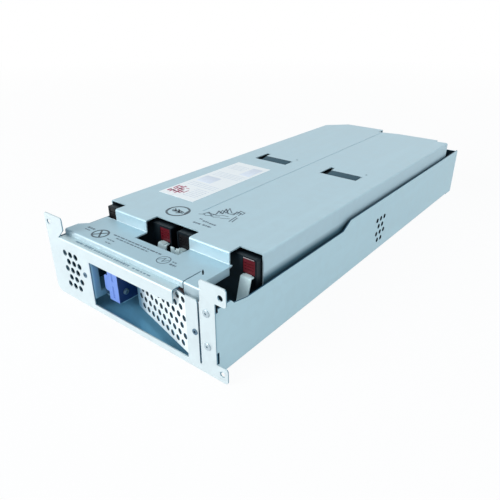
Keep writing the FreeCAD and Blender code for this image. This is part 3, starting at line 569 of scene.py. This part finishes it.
class Palette:
    """Every finish of the cartridge, built once."""

    def __init__(self) -> None:
        """Builds all the materials."""
        finishes = [
            # the tray, with painted shade on the inner faces of its sides, the tops of its walls, the inner
            # face of its back and its floor
            ZincSheet("zinc_tray", (0.45, 0.645, 0.715), painted_shading=(
                PaintedShading(Axis.X, INNER_X + 0.0002, INNER_X, ALONG_X, (0.11, 0.19, 0.25), mirrored=True),
                PaintedShading(Axis.X, INNER_X - 0.0002, INNER_X, ALONG_Z, (0.22, 0.27, 0.29), mirrored=True),
                PaintedShading(Axis.Y, INNER_Y + 0.0004, INNER_Y, ALONG_Y, (0.06, 0.09, 0.11), mirrored=True),
                PaintedShading(Axis.Z, 0.0006, 0.0008, ALONG_Z, (0.38, 0.72, 0.95)))),
            # the panel, paler than the cover's zinc as painted light from the front, with painted shade on
            # its ledge, its returns and its inner face
            ZincSheet("zinc_panel", (0.64, 0.73, 0.755), painted_shading=(
                PaintedShading(Axis.Y, FRONT_Y + 0.0002, FRONT_Y + 0.0004, ALONG_Z, (0.74, 0.82, 0.84)),
                PaintedShading(Axis.Y, FRONT_Y + 0.0002, FRONT_Y + 0.0004, ALONG_X, (0.26, 0.44, 0.54)),
                PaintedShading(Axis.Y, FRONT_Y + 0.0008, FRONT_Y + 0.0011, ALONG_Y, (0.20, 0.38, 0.50)))),
            # the guard, paler than the other zinc as painted light, with painted shade on the edges of its
            # holes and on its left end
            ZincSheet("zinc_guard", (0.86, 0.95, 0.97), painted_shading=(
                PaintedShading(Axis.X, 0.0700, 0.0690, GUARD_FACING, (0.06, 0.09, 0.11), edges=True),
                PaintedShading(Axis.X, 0.0030, -0.0120, GUARD_FACING, (0.13, 0.25, 0.35)))),
            # the cover, with painted shade at the foot of its sides and on its low deck, and painted light
            # at the foot of its riser
            ZincSheet("zinc_cover", (0.435, 0.605, 0.675), painted_shading=(
                PaintedShading(Axis.Z, 0.0640, 0.0575, ALONG_X, (0.18, 0.29, 0.34)),
                PaintedShading(Axis.Z, 0.0790, 0.0690, ALONG_Y, (1.25, 1.12, 1.08)),
                PaintedShading(Axis.Z, 0.0695, 0.0690, ALONG_Z, (0.86, 0.90, 0.92)))),
            # the bracket, darker and bluer than the tray's zinc as painted shade inside the recess
            ZincSheet("zinc_bracket", (0.30, 0.56, 0.72)),
            Moulding("block_case", (0.002, 0.0038, 0.0058), 0.42, shine=0.27, sheen=(0.55, 0.85, 1.0)),
            Moulding("insert_red", (0.11, 0.003, 0.009), 0.35, grain=900.0, depth=0.05, shine=0.35),
            Moulding("insert_black", (0.004, 0.004, 0.005), 0.4, grain=900.0, depth=0.05, shine=0.25),
            # a pale strip's finish: a painted highlight on the lip of a pocket
            Moulding("pale_edge_highlight", (0.50, 0.44, 0.45), 0.4, grain=900.0, depth=0.05),
            # the connector's blue, with painted shade behind its mating face
            ShadedMoulding("connector_blue", (0.001, 0.030, 0.15), (0.16, 0.28, 0.70)),
            Moulding("lead_red", (0.045, 0.003, 0.007), 0.4, grain=700.0, depth=0.04),
            Moulding("lead_black", (0.008, 0.008, 0.008), 0.4, grain=700.0, depth=0.04),
            BareMetal("tinned", (0.74, 0.94, 0.99), 0.5, metallic=0.05),
            BareMetal("contact_silver", (0.30, 0.42, 0.80), 0.5, metallic=0.1),
            BareMetal("screw_blued", (0.10, 0.19, 0.27), 0.34, metallic=0.35),
            BareMetal("screw_steel", (0.48, 0.58, 0.63), 0.32, metallic=0.5),
            Foam("pad_foam", (0.035, 0.035, 0.04)),
            Foam("tongue_pad", (0.035, 0.085, 0.115)),
            Print("label_white", (0.93, 0.99, 1.0)),
            Print("label_red", (0.42, 0.10, 0.17)),
            Print("label_grey", (0.64, 0.72, 0.80)),
            Print("label_pane", (0.76, 0.83, 0.92)),
            Print("ink_dark", (0.05, 0.085, 0.11)),
            Print("ink_soft", (0.10, 0.155, 0.20)),
            Print("ink_faint", (0.15, 0.24, 0.30)),
        ]
        self.materials = {finish.name: finish.build() for finish in finishes}

    def __getitem__(self, name: str) -> bpy.types.Material:
        """Returns a material by its name."""
        return self.materials[name]


# ---------------------------------------------------------------------------------------
# Modelling helpers
# ---------------------------------------------------------------------------------------
class Bench:
    """Makes pieces with the modelling operators and rides them on the part."""

    def __init__(self, palette: Palette) -> None:
        """Keeps the palette that pieces are dressed from."""
        self.palette = palette

    @staticmethod
    def clear() -> None:
        """Deselects everything."""
        bpy.ops.object.select_all(action="DESELECT")

    def _settle(self, piece: bpy.types.Object) -> None:
        """Applies a piece's place, turn and scale to its mesh.

        Args:
            piece: the piece.
        """
        self.clear()
        piece.select_set(True)
        bpy.context.view_layer.objects.active = piece
        bpy.ops.object.transform_apply(location=True, rotation=True, scale=True)

    def _soften(self, piece: bpy.types.Object, width: float, segments: int = 2) -> None:
        """Rounds a piece's edges with a bevel that is applied.

        Args:
            piece: the piece.
            width: the bevel's width, in metres.
            segments: number of steps in it.
        """
        modifier = piece.modifiers.new("edges", "BEVEL")
        modifier.width = width
        modifier.segments = segments
        modifier.limit_method = "ANGLE"
        bpy.context.view_layer.objects.active = piece
        bpy.ops.object.modifier_apply(modifier=modifier.name)

    def slab(self, low: Point, high: Point, soften: float, turn: float = 0.0, tilt: float = 0.0
             ) -> bpy.types.Object:
        """Makes a block with softened edges.

        Args:
            low: lowest corner, in metres.
            high: highest corner, in metres.
            soften: width of the edges' bevel, in metres.
            turn: turn about Z through the block's middle, in radians.
            tilt: turn about X through its middle, in radians.

        Returns:
            The block.
        """
        middle = [(a + b) / 2 for a, b in zip(low, high)]
        self.clear()
        bpy.ops.mesh.primitive_cube_add(size=1.0, location=middle, rotation=(tilt, 0.0, turn))
        piece = bpy.context.active_object
        piece.scale = [b - a for a, b in zip(low, high)]
        self._settle(piece)
        self._soften(piece, soften)
        return piece

    def mark(self, x: Span, y: Span, surface: float, height: float, turn: float = 0.0
             ) -> bpy.types.Object:
        """Makes one printed block on a surface that faces up.

        Args:
            x: its left and right ends, in millimetres.
            y: its front and back, in millimetres behind the panel's front face.
            surface: height of the surface, in metres.
            height: thickness of the print, in metres.
            turn: turn about Z through its middle, in radians.

        Returns:
            The block.
        """
        low = (x[0] * MM, y[0] * MM + FRONT_Y, surface)
        high = (x[1] * MM, y[1] * MM + FRONT_Y, surface + height)
        return self.slab(low, high, height * 0.3, turn)

    def ring(self, centre: Point, radius: float, inner: float, height: float) -> bpy.types.Object:
        """Makes a flat ring that stands on its centre point.

        Args:
            centre: middle of the foot, in metres.
            radius: outer radius.
            inner: radius of the hole.
            height: how far it stands up.

        Returns:
            The ring.
        """
        self.clear()
        bpy.ops.mesh.primitive_cylinder_add(vertices=48, radius=radius, depth=height,
                                            location=Vector(centre) + Vector((0, 0, height / 2)))
        piece = bpy.context.active_object
        self._settle(piece)
        self._open_up(piece, radius - inner)
        self._soften(piece, height * 0.25, 1)
        return piece

    def _open_up(self, piece: bpy.types.Object, width: float) -> None:
        """Insets both end faces of a disc, deletes them and bridges the two loops.

        Args:
            piece: the disc.
            width: how far the end faces are inset, in metres.
        """
        bpy.ops.object.mode_set(mode="EDIT")
        bpy.ops.mesh.select_mode(type="FACE")
        bpy.ops.mesh.select_all(action="DESELECT")
        mesh = bmesh.from_edit_mesh(piece.data)
        for face in mesh.faces:
            face.select_set(abs(face.normal.z) > 0.9)
        bmesh.update_edit_mesh(piece.data)
        bpy.ops.mesh.inset(thickness=width, depth=0.0)
        bpy.ops.mesh.delete(type="FACE")
        bpy.ops.mesh.select_mode(type="EDGE")
        bpy.ops.mesh.select_non_manifold(extend=False)
        bpy.ops.mesh.bridge_edge_loops()
        bpy.ops.mesh.select_all(action="SELECT")
        bpy.ops.mesh.normals_make_consistent(inside=False)
        bpy.ops.object.mode_set(mode="OBJECT")

    def join(self, name: str, parts: Sequence[bpy.types.Object]) -> bpy.types.Object:
        """Joins parts into one piece.

        Args:
            name: the piece's name.
            parts: the objects to join.

        Returns:
            The joined piece.
        """
        self.clear()
        for part in parts:
            part.select_set(True)
        bpy.context.view_layer.objects.active = parts[0]
        if len(parts) > 1:
            bpy.ops.object.join()
        piece = bpy.context.active_object
        piece.name = name
        piece.data.name = name
        return piece

    def finish(self, piece: bpy.types.Object, finish: str, slot: str) -> None:
        """Dresses a piece, smooths it and rides it on the part.

        Args:
            piece: the piece.
            finish: the name of its finish.
            slot: not used.
        """
        piece.data.materials.clear()
        piece.data.materials.append(self.palette[finish])
        self.clear()
        piece.select_set(True)
        bpy.context.view_layer.objects.active = piece
        bpy.ops.object.shade_smooth_by_angle(angle=math.radians(35))
        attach(piece, "root")
        LOG.info("%s: %d faces", piece.name, len(piece.data.polygons))


# ---------------------------------------------------------------------------------------
# Sub-assemblies
# ---------------------------------------------------------------------------------------
def dress(nodes: dict[str, bpy.types.Object], finishes: dict[str, str], palette: Palette) -> None:
    """Gives each named node its finish.

    Args:
        nodes: the frame's nodes by name.
        finishes: node name to finish name.
        palette: the finishes.
    """
    for name, finish in finishes.items():
        node = nodes[name]
        node.data.materials.clear()
        node.data.materials.append(palette[finish])
        LOG.info("%s wears %s", name, finish)


@dataclass
class SheetMetal:
    """Tray, panel, guard, cover and bracket, which the frame holds whole."""

    palette: Palette
    nodes: dict[str, bpy.types.Object]

    def build(self) -> None:
        """Dresses each sheet."""
        dress(self.nodes, {
            "tray": "zinc_tray",
            "front_panel": "zinc_panel",
            "connector_guard": "zinc_guard",
            "top_cover": "zinc_cover",
            "connector_bracket": "zinc_bracket",
        }, self.palette)


@dataclass
class Blocks:
    """The sealed blocks, their boots, blades, straps and pads.

    Attributes:
        palette: the finishes.
        bench: makes the new pieces.
        nodes: the frame's nodes by name.
        count: number of blocks.
        tongue_lefts: left ends of the pads on the cover's two tongues, in millimetres.
        tongue_width: width of such a pad.
        tongue_y: its front and back, behind the panel's front face.
        tongue_z: its underside and top before it is tilted.
        tongue_tilt: its tilt, as the tongue slopes up to the back.
        lip_low: lowest corner of the pale strip over the right front insert, a painted highlight.
        lip_high: its highest corner.
    """

    palette: Palette
    bench: Bench
    nodes: dict[str, bpy.types.Object]
    count: int = 8
    tongue_lefts: Span = (-64.0, 31.0)
    tongue_width: float = 37.6
    tongue_y: Span = (271.6, 283.6)
    tongue_z: Span = (79.4, 79.7)
    tongue_tilt: float = math.atan2(2.4, 14.0)
    lip_low: Point = place(80.4, 57.5, 75.2)
    lip_high: Point = place(91.6, 58.1, 75.6)

    def build(self) -> None:
        """Dresses the blocks and everything that is fixed to them."""
        finishes = {"battery_block_%d" % (i + 1): "block_case" for i in range(self.count)}
        finishes.update({
            "positive_boots": "insert_red",
            "negative_boots": "insert_black",
            "terminal_blades": "tinned",
            "strap_outer_left": "tinned",
            "strap_inner_left": "tinned",
            "strap_inner_right": "tinned",
            "strap_outer_right": "tinned",
            "front_bar": "tinned",
            "channel_jumpers": "tinned",
            "floor_pad": "pad_foam",
            "channel_foam": "pad_foam",
            "middle_pad": "pad_foam",
        })
        dress(self.nodes, finishes, self.palette)
        self.tongue_pads()
        self.insert_lip()

    def tongue_pads(self) -> None:
        """Dark pads on the tongues that hold the blocks down, seen through the windows."""
        pads = []
        for left in self.tongue_lefts:
            low = place(left, self.tongue_y[0], self.tongue_z[0])
            high = place(left + self.tongue_width, self.tongue_y[1], self.tongue_z[1])
            pads.append(self.bench.slab(low, high, EDGE, tilt=self.tongue_tilt))
        piece = self.bench.join("tongue_pads", pads)
        self.bench.finish(piece, "tongue_pad", "foam")

    def insert_lip(self) -> None:
        """A pale strip on the top lip of the pocket at the right end of the front row: a painted highlight.
        """
        piece = self.bench.join("insert_lip", [self.bench.slab(self.lip_low, self.lip_high, EDGE)])
        self.bench.finish(piece, "pale_edge_highlight", "block_case")


@dataclass
class PowerConnector:
    """Connector, its screws and its leads.

    Attributes:
        palette: the finishes.
        bench: makes the new pieces.
        nodes: the frame's nodes by name.
        shutter_heights: foot and top of the shutters in each contact slot, in millimetres.
        shutter_leaves: left and right edge of the two leaves in a slot.
        shutter_y: their front and back, behind the panel's front face.
    """

    palette: Palette
    bench: Bench
    nodes: dict[str, bpy.types.Object]
    shutter_heights: tuple[Span, Span] = ((16.3, 28.7), (33.3, 45.7))
    shutter_leaves: tuple[Span, Span] = ((-32.95, -31.9), (-31.7, -30.65))
    shutter_y: Span = (9.25, 9.9)

    def build(self) -> None:
        """Dresses the connector and its fittings."""
        dress(self.nodes, {
            "connector_housing": "connector_blue",
            "connector_contacts": "contact_silver",
            "connector_screws": "screw_blued",
            "side_screws": "screw_blued",
            "connector_nuts": "screw_steel",
            "connector_spacers": "screw_steel",
            "lead_positive": "lead_red",
            "lead_negative": "lead_black",
            "ear_rivets": "screw_steel",
            "panel_studs": "screw_blued",
            "stud_nuts": "screw_steel",
        }, self.palette)
        self.shutters()

    def shutters(self) -> None:
        """Finger-safe shutters in the mouths of the contact slots, with an upright joint each."""
        front, back = self.shutter_y
        leaves = []
        for foot, top in self.shutter_heights:
            for left, right in self.shutter_leaves:
                low = place(left, front, foot)
                high = place(right, back, top)
                leaves.append(self.bench.slab(low, high, EDGE))
        piece = self.bench.join("slot_shutters", leaves)
        self.bench.finish(piece, "connector_blue", "connector_blue")


@dataclass
class CoverMarks:
    """Plain printed marks on the cover's decks and on the ledge: rings, bars, short dashes.

    Attributes:
        bench: makes the marks.
        ink: thickness of the print, in metres.
    """

    bench: Bench
    ink: float = 0.00006

    def _bar(self, x: Span, y: Span, z: float, turn: float = 0.0) -> bpy.types.Object:
        """Returns one printed bar, from ranges in millimetres and a surface's height in metres."""
        return self.bench.mark(x, y, z, self.ink, turn)

    def _dashes(self, x: Span, y: float, deep: float, z: float, lengths: Sequence[float], gap: float
                ) -> list[bpy.types.Object]:
        """Returns a row of dashes.

        Args:
            x: where the row starts and must end, in millimetres.
            y: middle of the row.
            deep: how far each dash reaches from front to back.
            z: the surface, in metres.
            lengths: the dashes' lengths, used in turn.
            gap: the space between two dashes.

        Returns:
            The dashes.
        """
        dashes = []
        at = x[0]
        while at < x[1]:
            end = min(at + lengths[len(dashes) % len(lengths)], x[1])
            dashes.append(self._bar((at, end), (y - deep / 2, y + deep / 2), z))
            at = end + gap
        return dashes

    def _strokes(self, points: Sequence[Span], width: float, z: float) -> list[bpy.types.Object]:
        """Returns one printed line through points, as a chain of bars.

        Args:
            points: (x, y) in millimetres.
            width: the line's width in millimetres.
            z: the surface, in metres.

        Returns:
            The bars.
        """
        bars = []
        for (x0, y0), (x1, y1) in zip(points, points[1:]):
            half = math.hypot(x1 - x0, y1 - y0) / 2 + width * 0.3
            middle = ((x0 + x1) / 2, (y0 + y1) / 2)
            x = (middle[0] - half, middle[0] + half)
            y = (middle[1] - width / 2, middle[1] + width / 2)
            bars.append(self._bar(x, y, z, math.atan2(y1 - y0, x1 - x0)))
        return bars

    def _ring(self, x: float, y: float, radius: float, width: float, z: float) -> bpy.types.Object:
        """Returns one printed ring."""
        centre = (x * MM, y * MM + FRONT_Y, z)
        return self.bench.ring(centre, radius * MM, (radius - width) * MM, self.ink)

    def _print(self, name: str, parts: Sequence[bpy.types.Object], finish: str) -> None:
        """Joins printed parts into one piece and dresses it."""
        self.bench.finish(self.bench.join(name, parts), finish, "label_paper")

    def round_mark(self) -> None:
        """A ring with a struck-through scribble, behind the riser."""
        z = HIGH_DECK_Z
        parts = [self._ring(-21.4, 84.8, 12.0, 2.1, z)]
        for x, y in ((-31.6, 82.4), (-12.4, 87.6)):
            parts.append(self._bar((x - 1.0, x + 1.0), (y - 4.2, y + 4.2), z, 0.2))
        parts += self._strokes([(-28, 88), (-24, 84.5), (-26, 82), (-20, 84), (-22, 87), (-16, 86)], 1.3, z)
        parts += self._strokes([(-24, 88.5), (-18, 83), (-20, 80.5), (-15, 83.5)], 1.3, z)
        parts += self._dashes((-28.5, -14.0), 84.6, 3.4, z, (1.1, 0.8, 1.5), 1.1)
        self._print("round_mark", parts, "ink_dark")

    def deck_strokes(self) -> None:
        """Wavy and straight strokes right of the ring, with two rows of dashes before them."""
        z = HIGH_DECK_Z
        wave = [(2, 95.5), (3.5, 101), (10.5, 97), (12, 102), (9, 109), (16, 106), (11.5, 117), (20, 109.5),
                (26, 110.5), (24, 118), (30, 117), (30.5, 112)]
        parts = self._strokes(wave, 1.4, z)
        parts += self._strokes([(x + 1.6, y + 3.4) for x, y in wave[3:]], 1.0, z)
        parts += self._strokes([(-1, 92), (3, 94.5), (6, 93.5), (10, 95.5), (15, 95), (19, 98.5)], 1.1, z)
        parts += self._strokes([(4, 98.5), (8, 100), (14, 99.5), (20, 103.5), (25, 104)], 0.9, z)
        parts += self._strokes([(30.6, 109), (32.4, 96.4)], 1.2, z)
        parts += self._strokes([(33.4, 107), (35.4, 97)], 1.2, z)
        parts += self._strokes([(21, 97), (29, 101)], 1.0, z)
        for y, start, end in ((75.6, 7.5, 16.5), (76.2, 18.5, 28.5), (82.8, 12.5, 19.8), (82.0, 21.2, 29.0)):
            parts += self._dashes((start, end), y, 2.3, z, (2.6, 1.7, 3.1), 0.7)
        parts += self._dashes((7.2, 10.4), 84.6, 2.0, z, (1.4,), 0.5)
        self._print("deck_strokes", parts, "ink_soft")

    def crossed_ring(self) -> None:
        """A bold ring with a cross in it, at the left of the low deck."""
        parts = [self._ring(-59.3, 22.2, 8.6, 1.8, LOW_DECK_Z)]
        for turn in (0.85, -0.85):
            parts.append(self._bar((-66.3, -52.3), (21.3, 23.1), LOW_DECK_Z, turn))
        self._print("crossed_ring", parts, "ink_dark")

    def low_deck_marks(self) -> None:
        """A faint ring and rows of dashes on the low deck."""
        z = LOW_DECK_Z
        parts = [self._ring(24.0, 23.2, 6.4, 0.9, z)]
        parts += self._strokes([(19, 21), (23.5, 26.5), (24.5, 20.5), (28.5, 25.5)], 0.8, z)
        parts += self._dashes((-81, -71), 24.5, 2.4, z, (3.2, 2.0), 0.8)
        parts += self._dashes((-80, -73), 20.5, 1.6, z, (2.2, 1.6), 0.8)
        parts += self._dashes((-48, 15), 28.5, 1.7, z, (4.5, 3.0, 6.0, 2.4), 1.0)
        parts += self._dashes((-40, 3), 25.0, 1.5, z, (3.6, 5.0, 2.6), 1.0)
        parts += self._dashes((-46, -36), 19.5, 1.4, z, (3.0, 2.2), 0.9)
        parts += self._dashes((-42, -34), 14.5, 1.2, z, (2.6, 3.2), 0.9)
        parts += self._dashes((32, 37), 25.5, 1.4, z, (2.0,), 0.8)
        parts += self._dashes((33, 40), 21.5, 2.4, z, (2.6, 1.8), 0.8)
        self._print("low_deck_marks", parts, "ink_soft")

    def ledge_marks(self) -> None:
        """One row of dashes along the ledge."""
        z = LEDGE_Z
        parts = self._dashes((-73, -62), 4.9, 2.2, z, (5.0, 3.4), 0.9)
        parts += self._dashes((-60, -48), 4.9, 2.8, z, (2.6, 1.8, 3.4), 0.8)
        parts += self._dashes((-46, -20), 4.7, 2.0, z, (2.4, 1.6, 3.0, 2.0), 0.8)
        parts += self._dashes((-18, 2), 4.7, 2.6, z, (1.8, 2.6, 1.4), 1.0)
        parts += self._dashes((6, 28), 4.4, 1.5, z, (3.0, 4.5, 2.2), 1.3)
        self._print("ledge_marks", parts, "ink_faint")

    def build(self) -> None:
        """Prints all three surfaces."""
        self.round_mark()
        self.deck_strokes()
        self.crossed_ring()
        self.low_deck_marks()
        self.ledge_marks()


@dataclass
class DeckLabel:
    """The label on the left of the high deck: white stock with plain printed fields.

    Attributes:
        palette: the finishes.
        bench: makes the printed fields.
        nodes: the frame's nodes by name.
        top: height of the label's face, in metres.
        ink: thickness of the print.
    """

    palette: Palette
    bench: Bench
    nodes: dict[str, bpy.types.Object]
    top: float = HIGH_DECK_Z + 0.00015
    ink: float = 0.00005

    def _print(self, name: str, fields: Sequence[tuple[Span, Span]], finish: str) -> None:
        """Prints fields as one piece.

        Args:
            name: the piece's name.
            fields: the range of each field along X and Y, in millimetres.
            finish: the name of its finish.
        """
        parts = [self.bench.mark(x, y, self.top, self.ink) for x, y in fields]
        self.bench.finish(self.bench.join(name, parts), finish, "label_paper")

    def build(self) -> None:
        """Dresses the stock and prints its fields."""
        dress(self.nodes, {"label": "label_white"}, self.palette)
        lines = [((-70, -32), (y, y + 0.9)) for y in (146, 150, 154, 186, 190, 194, 198)]
        lines += [((-50, -32), (y, y + 0.9)) for y in (119, 123, 127, 131, 135, 139)]
        lines += [((-72, -50), (y, y + 0.9)) for y in (216, 220, 224, 228)]
        self._print("label_lines", lines, "label_grey")
        self._print("label_panes", [((-71, -50), (160, 180)), ((-45, -31), (204, 232))], "label_pane")
        self._print("label_red_field", [
            ((-73.0, -70.6), (118, 124)), ((-73.0, -70.8), (127, 137)), ((-69.0, -67.0), (117, 130)),
            ((-69.4, -66.6), (133, 137)), ((-65.2, -63.4), (119, 123)), ((-65.6, -63.4), (126, 139)),
            ((-61.6, -59.4), (117, 132)), ((-57.6, -55.4), (120, 127)), ((-72.0, -58.0), (121.0, 122.6)),
            ((-70.0, -61.0), (129.2, 130.8)), ((-64.6, -56.0), (124.6, 125.8)),
            ((-61.0, -55.6), (134.0, 135.2)), ((-53.6, -52.4), (122, 131))], "label_red")


# ---------------------------------------------------------------------------------------
# Studio
# ---------------------------------------------------------------------------------------
@dataclass
class Studio:
    """Camera, floor, lamps and surroundings.

    Attributes:
        camera_at: where the camera stands.
        azimuth: its turn about Z, in degrees.
        pitch: how far it looks down, in degrees.
        lens: its focal length, in millimetres.
        shift: how far its lens is shifted, across and up.
        floor_size: edge of the floor.
        floor_drop: how far the floor lies under the part.
        aim: the point that most lamps face.
        cool: colour of the lamps that fill the shade.
    """

    camera_at: Point = place(302.0, -212.3, 260.7)
    azimuth: float = 38.385
    pitch: float = 27.121
    lens: float = 35.43
    shift: Span = (-0.0013, 0.0002)
    floor_size: float = 400.0
    floor_drop: float = 0.0002
    aim: Point = (0.0, -0.1, 0.04)
    cool: Colour = (0.93, 0.97, 1.0)

    def camera(self) -> None:
        """Adds the camera and makes it the scene's own."""
        data = bpy.data.cameras.new("view")
        data.lens = self.lens
        data.sensor_width = 36.0
        data.clip_start = 0.01
        data.clip_end = 200.0
        data.shift_x, data.shift_y = self.shift
        camera = bpy.data.objects.new("view", data)
        camera.location = self.camera_at
        camera.rotation_euler = (math.radians(90.0 - self.pitch), 0.0, math.radians(self.azimuth))
        bpy.context.collection.objects.link(camera)
        bpy.context.scene.camera = camera

    def lamp(self, name: str, at: Point, aim: Point, size: float, power: float, colour: Colour) -> None:
        """Adds one soft square lamp.

        Args:
            name: the lamp's name.
            at: where it stands.
            aim: the point that it faces.
            size: edge of its square.
            power: its power in watts.
            colour: its colour.
        """
        data = bpy.data.lights.new(name, "AREA")
        data.shape = "SQUARE"
        data.size = size
        data.energy = power
        data.color = colour
        lamp = bpy.data.objects.new(name, data)
        lamp.location = at
        lamp.rotation_euler = (Vector(aim) - Vector(at)).to_track_quat("-Z", "Y").to_euler()
        bpy.context.collection.objects.link(lamp)

    @staticmethod
    def _white_for_eye(tree: bpy.types.NodeTree, glow: bpy.types.Node, lit: Socket, out: Socket) -> Socket:
        """Lets camera, mirror and clear-through rays see white, mixed over a lit shader.

        Args:
            tree: the node tree.
            glow: the node that gives the white.
            lit: the shader that lights and takes shadows.
            out: the output node's socket.

        Returns:
            The input that scales how much of the white those rays get.
        """
        path = tree.nodes.new("ShaderNodeLightPath")
        glow.inputs["Color"].default_value = (1.0, 1.0, 1.0, 1.0)
        glow.inputs["Strength"].default_value = 1.0
        total = path.outputs["Is Camera Ray"]
        for ray in ("Is Glossy Ray", "Is Transmission Ray"):
            most = tree.nodes.new("ShaderNodeMath")
            most.operation = "MAXIMUM"
            tree.links.new(total, most.inputs[0])
            tree.links.new(path.outputs[ray], most.inputs[1])
            total = most.outputs[0]
        scaled = tree.nodes.new("ShaderNodeMath")
        scaled.operation = "MULTIPLY"
        scaled.inputs[1].default_value = 1.0
        tree.links.new(total, scaled.inputs[0])
        mix = tree.nodes.new("ShaderNodeMixShader")
        tree.links.new(scaled.outputs[0], mix.inputs[0])
        tree.links.new(lit, mix.inputs[1])
        tree.links.new(glow.outputs[0], mix.inputs[2])
        tree.links.new(mix.outputs[0], out)
        return scaled.inputs[1]

    @staticmethod
    def _share_by_distance(tree: bpy.types.NodeTree) -> Socket:
        """Adds a share of white that leaves a shadow by the part and none far away.

        Args:
            tree: the floor material's node tree.

        Returns:
            The share's socket.
        """
        coordinates = tree.nodes.new("ShaderNodeTexCoord")
        distance = tree.nodes.new("ShaderNodeVectorMath")
        distance.operation = "LENGTH"
        fade = tree.nodes.new("ShaderNodeMapRange")
        fade.inputs["From Min"].default_value = 0.5
        fade.inputs["From Max"].default_value = 2.0
        fade.inputs["To Min"].default_value = 0.93
        fade.inputs["To Max"].default_value = 1.0
        tree.links.new(coordinates.outputs["Object"], distance.inputs[0])
        tree.links.new(distance.outputs["Value"], fade.inputs["Value"])
        return fade.outputs["Result"]

    def world(self) -> None:
        """Pale even surroundings."""
        world = bpy.data.worlds.new("room")
        world.use_nodes = True
        tree = world.node_tree
        background = tree.nodes["Background"]
        background.inputs["Color"].default_value = (0.80, 0.90, 1.0, 1.0)
        background.inputs["Strength"].default_value = 0.34
        glow = tree.nodes.new("ShaderNodeBackground")
        out = tree.nodes["World Output"].inputs["Surface"]
        self._white_for_eye(tree, glow, background.outputs[0], out)
        bpy.context.scene.world = world

    def floor(self) -> None:
        """A wide pale floor that keeps a faint shadow."""
        Bench.clear()
        bpy.ops.mesh.primitive_plane_add(size=self.floor_size, location=(0.0, 0.0, -self.floor_drop))
        floor = bpy.context.active_object
        floor.name = "floor"
        material = bpy.data.materials.new("floor_white")
        material.use_nodes = True
        tree = material.node_tree
        shader = tree.nodes["Principled BSDF"]
        shader.inputs["Base Color"].default_value = (0.9, 0.93, 0.95, 1.0)
        shader.inputs["Roughness"].default_value = 0.9
        shader.inputs["Specular IOR Level"].default_value = 0.1
        glow = tree.nodes.new("ShaderNodeEmission")
        out = tree.nodes["Material Output"].inputs["Surface"]
        share = self._white_for_eye(tree, glow, shader.outputs[0], out)
        tree.links.new(self._share_by_distance(tree), share)
        floor.data.materials.append(material)

    def build(self) -> None:
        """Sets up the whole studio."""
        self.camera()
        self.world()
        self.floor()
        self.lamp("key", (-0.8, -1.8, 0.8), self.aim, size=1.2, power=35.0, colour=(1.0, 1.0, 1.0))
        self.lamp("top", (0.2, 0.6, 1.8), self.aim, size=1.6, power=9.0, colour=self.cool)
        self.lamp("side", (1.8, 0.1, 0.7), (0.0, 0.0, 0.03), size=1.4, power=9.0, colour=self.cool)
        bpy.context.scene.view_settings.view_transform = "Standard"


def main() -> None:
    """Builds the studio and every sub-assembly in order."""
    logging.basicConfig(level=logging.INFO, format="%(name)s %(message)s")
    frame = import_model()
    nodes = frame["nodes"]
    palette = Palette()
    bench = Bench(palette)
    Studio().build()
    SheetMetal(palette, nodes).build()
    Blocks(palette, bench, nodes).build()
    PowerConnector(palette, bench, nodes).build()
    CoverMarks(bench).build()
    DeckLabel(palette, bench, nodes).build()


if __name__ == "__main__":
    main()
